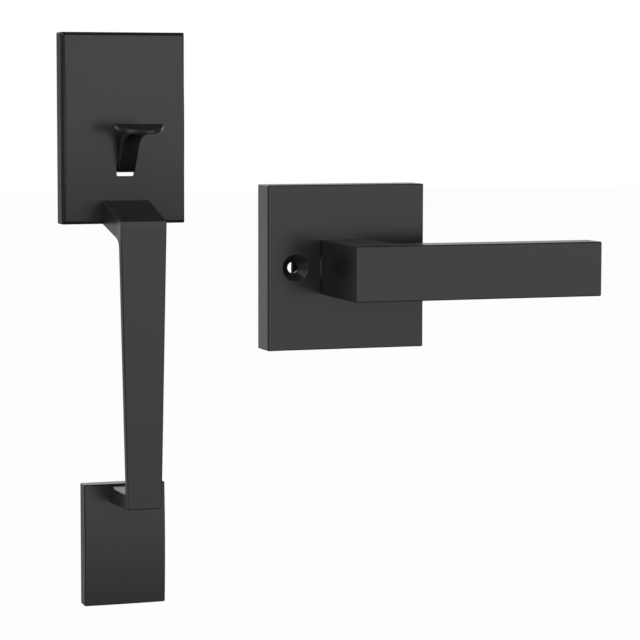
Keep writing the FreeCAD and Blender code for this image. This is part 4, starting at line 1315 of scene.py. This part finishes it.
@dataclass
class Fixings:
    """Screws, sleeves, rivets and a spring, each made from a node tree; places are X and Z."""

    plate_screws: tuple[Pair, ...] = ((-21.7, 33.2), (21.7, 33.2), (-21.7, -38.9), (21.7, -38.9))
    cassette_screws: tuple[Pair, ...] = (
        (86.5, -41.5), (121.5, -41.5), (86.5, -92.5), (121.5, -92.5)
    )
    bushes: tuple[Pair, ...] = ((-24.8, 0.0), (24.8, 0.0))
    rivets: tuple[Pair, ...] = ((9.0, 8.9), (9.0, -7.6))
    lower_post: Pair = (0.0, -196.0)
    post_sizes: dict[str, float] = field(default_factory=lambda: {
        "Radius": 4.0,
        "Bore Radius": 2.5,
        "Length": 24.0,
        "Spigot Radius": 2.9,
        "Spigot Length": 4.0,
    })
    lift_travel: float = 4.4212
    lift_gap: float = 0.25

    def build(self, finishes: Finishes) -> None:
        """Makes every fixing."""
        zinc = finishes[Coat.ZINC]
        screw, sleeve, rivet = ScrewTree(zinc), SleeveTree(zinc), RivetTree(zinc)
        for tree, name, places, node, sizes in (
            (screw, "back_plate_screws", self.plate_screws, "plate_screws", None),
            (screw, "spring_case_screws", self.cassette_screws, "cassette_screws", None),
            (sleeve, "through_bolt_bushes", self.bushes, "bolt_bushes", None),
            (sleeve, "lower_sleeve", (self.lower_post,), "lower_post", self.post_sizes),
            (rivet, "guide_rivets", self.rivets, "guide_pins", None),
        ):
            piece = tree.grow(name, [Vector((x, 0.0, z)) for x, z in places], sizes)
            # The grown mesh's first slot, which is empty where the tree made several copies.
            worn = piece.made.data.materials[0]
            piece.hand_over(node, {Coat.ZINC: worn}, coat=Coat.ZINC)
        self._lift_coil(finishes)

    def _lift_coil(self, finishes: Finishes) -> None:
        """The lift spring over the bar, which the bar presses together."""
        low, high = (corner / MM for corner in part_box("lift_spring"))
        place = Vector(((low.x + high.x) / 2, (low.y + high.y) / 2, low.z + self.lift_gap))
        height = high.z - low.z
        tree = CoilTree(finishes[Coat.SPRING])
        piece = tree.grow("lift_coil", [place], {"Height": height - 2 * self.lift_gap})
        made = piece.hand_over("lift_spring", finishes, coat=Coat.SPRING, angle=60.0)
        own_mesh(made)


@dataclass
class Works:
    """CAD nodes whose shape is kept, with a better finish."""

    nodes: dict[Coat, tuple[str, ...]] = field(default_factory=lambda: {
        Coat.ZINC: ("thumb_pivot_pin", "spindle", "grip_screws"),
        Coat.DARK_STEEL: (
            "mounting_plate", "lift_bar", "cassette_housing", "return_cam", "latch_rotor",
        ),
        Coat.SPRING: ("rotor_clip", "retaining_ring", "lever_set_screw", "return_spring"),
    })

    def build(self, finishes: Finishes) -> None:
        """Puts the finish in every slot of every node."""
        for coat, names in self.nodes.items():
            for name in names:
                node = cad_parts[name]
                if not node.material_slots:
                    node.data.materials.append(finishes[coat])
                for place in node.material_slots:
                    place.material = finishes[coat]
                LOG.info("%s: kept from the frame", name)


# Studio


@dataclass(frozen=True)
class Screens:
    """White screens in a dim room, which only mirrors see.

    Each pair is a span of the direction's X, Y or Z over which a screen begins or ends.
    """

    front_ahead: Pair = (0.3, 0.6)
    front_rise: Pair = (-0.5, 0.02)
    front_top: Pair = (0.3, 0.6)
    front_right: Pair = (-0.14, 0.06)
    front_level: float = 0.55
    left_aside: Pair = (0.282, 0.318)
    left_top: Pair = (-0.045, 0.06)
    left_behind: Pair = (0.7, 0.85)
    above_rise: Pair = (0.03, 0.16)
    above_behind: Pair = (0.6, 0.8)
    above_level: float = 0.9
    wall_start: Pair = (0.42, 0.52)
    wall_end: Pair = (0.84, 0.93)
    wall_top: Pair = (0.4, 0.6)
    wall_level: float = 0.7
    side_start: Pair = (0.98, 0.995)
    dark: float = 0.08

    def light(self, graph: Graph) -> Term:
        """The room's brightness in a direction.

        A wide screen in front fades downwards and is dimmer to the left. Smaller ones stand
        behind, to the left and above, and pale walls fill the diagonals and the sides.
        """
        x, y, z = graph.axes()
        front = (-y).rises(self.front_ahead) * z.rises(self.front_rise) * z.falls(self.front_top)
        front = front * (self.front_level + x.rises(self.front_right) * (1.0 - self.front_level))
        left = (-x).rises(self.left_aside) * z.falls(self.left_top) * y.rises(self.left_behind)
        above = z.rises(self.above_rise) * y.rises(self.above_behind) * self.above_level
        aside = abs(x)
        walls = aside.rises(self.wall_start) * aside.falls(self.wall_end)
        walls = (walls + aside.rises(self.side_start)) * abs(z).falls(self.wall_top)
        white = front.largest(left).largest(above).largest(walls * self.wall_level)
        return self.dark + white * (1.0 - self.dark)


@dataclass
class Studio:
    """White surroundings, a soft lamp, a pale floor and the camera."""

    ambient: float = 0.85
    floor_z: float = -300.0
    floor_half: float = 6000.0
    floor_grey: float = 0.95
    floor_white: float = 0.88
    card_x: Pair = (67.5, 79.0)
    card_y: float = 6.0
    card_z: Pair = (-79.0, -55.0)
    card_grey: float = 0.01
    lamp_place: Triple = (-900.0, -1300.0, 900.0)
    lamp_target: Triple = (90.0, 0.0, -90.0)
    lamp_size: float = 1400.0
    lamp_watts: float = 9.0
    eye: Triple = (-297.105, -1145.697, 19.086)
    right: Triple = (0.9459, -0.3246, 0.0018)
    down: Triple = (-0.0281, -0.0875, -0.9958)
    lens: float = 146.585
    sensor: float = 36.0
    clip: Pair = (0.05, 60.0)

    def build(self) -> None:
        """Sets the whole scene up."""
        self._world()
        self._floor()
        self._card()
        self._lamp()
        self._camera()
        bpy.context.scene.view_settings.view_transform = "Standard"

    def _world(self) -> None:
        """White where it is seen, soft as light, and a dim room with white screens in mirrors."""
        world = bpy.data.worlds.new("white_room")
        world.use_nodes = True
        graph = Graph(world.node_tree)
        mirrored = graph.term("ShaderNodeLightPath", {}, "Is Glossy Ray")
        strength = self.ambient + graph.seen(1.0) * (1.0 - self.ambient)
        strength = strength + mirrored * (Screens().light(graph) - self.ambient)
        sky = graph.term("ShaderNodeBackground", {"Color": WHITE, "Strength": strength})
        graph.node("ShaderNodeOutputWorld", {"Surface": sky})
        bpy.context.scene.world = world

    @staticmethod
    def _board(
        name: str, corners: list[Vector], finish: bpy.types.Material
    ) -> bpy.types.Object:
        """One flat face of the studio with its finish."""
        board = Shell().place(corners).cap_last().build(name).made
        board.data.materials.append(finish)
        return board

    @staticmethod
    def _matt(graph: Graph, grey: float, rough: float) -> Term:
        """A matt grey shader."""
        inputs = {"Color": (grey, grey, grey, 1.0), "Roughness": rough}
        return graph.term("ShaderNodeBsdfDiffuse", inputs)

    def _floor_surface(self, graph: Graph) -> Term:
        """Matt and pale, and nearly white where the camera looks at it."""
        matt = self._matt(graph, self.floor_grey, 1.0)
        glow = graph.term("ShaderNodeEmission", {"Color": WHITE, "Strength": 1.0})
        share = graph.seen(self.floor_white)
        return graph.term("ShaderNodeMixShader", {0: share, 1: matt, 2: glow})

    def _floor(self) -> None:
        """Pale floor under the hanging set."""
        half = self.floor_half
        corners = [(-half, -half), (half, -half), (half, half), (-half, half)]
        places = [Vector((x, y, self.floor_z)) for x, y in corners]
        finish = new_material("pale_floor", self._floor_surface)
        self._board("floor", places, finish).visible_glossy = False

    def _card_surface(self, graph: Graph) -> Term:
        """Matt black."""
        return self._matt(graph, self.card_grey, 0.0)

    def _card(self) -> None:
        """Black card behind the rosette's bolt hole, which only mirrors see.

        It stops the white room behind the hole from showing as a spot on the lever's hub.
        """
        (left, right), (low, high) = self.card_x, self.card_z
        corners = [(left, low), (right, low), (right, high), (left, high)]
        places = [Vector((x, self.card_y, z)) for x, z in corners]
        finish = new_material("black_card", self._card_surface)
        card = self._board("black_card", places, finish)
        for ray in ("camera", "diffuse", "transmission", "shadow"):
            setattr(card, f"visible_{ray}", False)

    def _lamp(self) -> None:
        """A large square lamp that faces the set."""
        data = bpy.data.lights.new("key", "AREA")
        data.size = self.lamp_size * MM
        data.energy = self.lamp_watts
        lamp = put("key", data)
        lamp.location = Vector(self.lamp_place) * MM
        towards = Vector(self.lamp_target) - Vector(self.lamp_place)
        lamp.rotation_euler = towards.to_track_quat("-Z", "Y").to_euler()

    def _camera(self) -> None:
        """The photograph's viewpoint."""
        data = bpy.data.cameras.new("camera")
        data.sensor_width = self.sensor
        data.lens = self.lens
        data.clip_start, data.clip_end = self.clip
        camera = put("camera", data)
        right = Vector(self.right).normalized()
        back = right.cross(-Vector(self.down)).normalized()
        up = back.cross(right)
        pose = Matrix((right, up, back)).transposed().to_4x4()
        pose.translation = Vector(self.eye) * MM
        camera.matrix_world = pose
        bpy.context.scene.camera = camera


def main() -> None:
    """Builds the set and its studio."""
    logging.basicConfig(level=logging.INFO, format="%(name)s: %(message)s")
    finishes = make_finishes()
    for part in (
        UpperEscutcheon(),
        ThumbPiece(),
        Grip(),
        LowerEscutcheon(),
        Rosette(),
        Lever(),
        Fixings(),
        Works(),
    ):
        part.build(finishes)
    Studio().build()


if __name__ == "__main__":
    main()
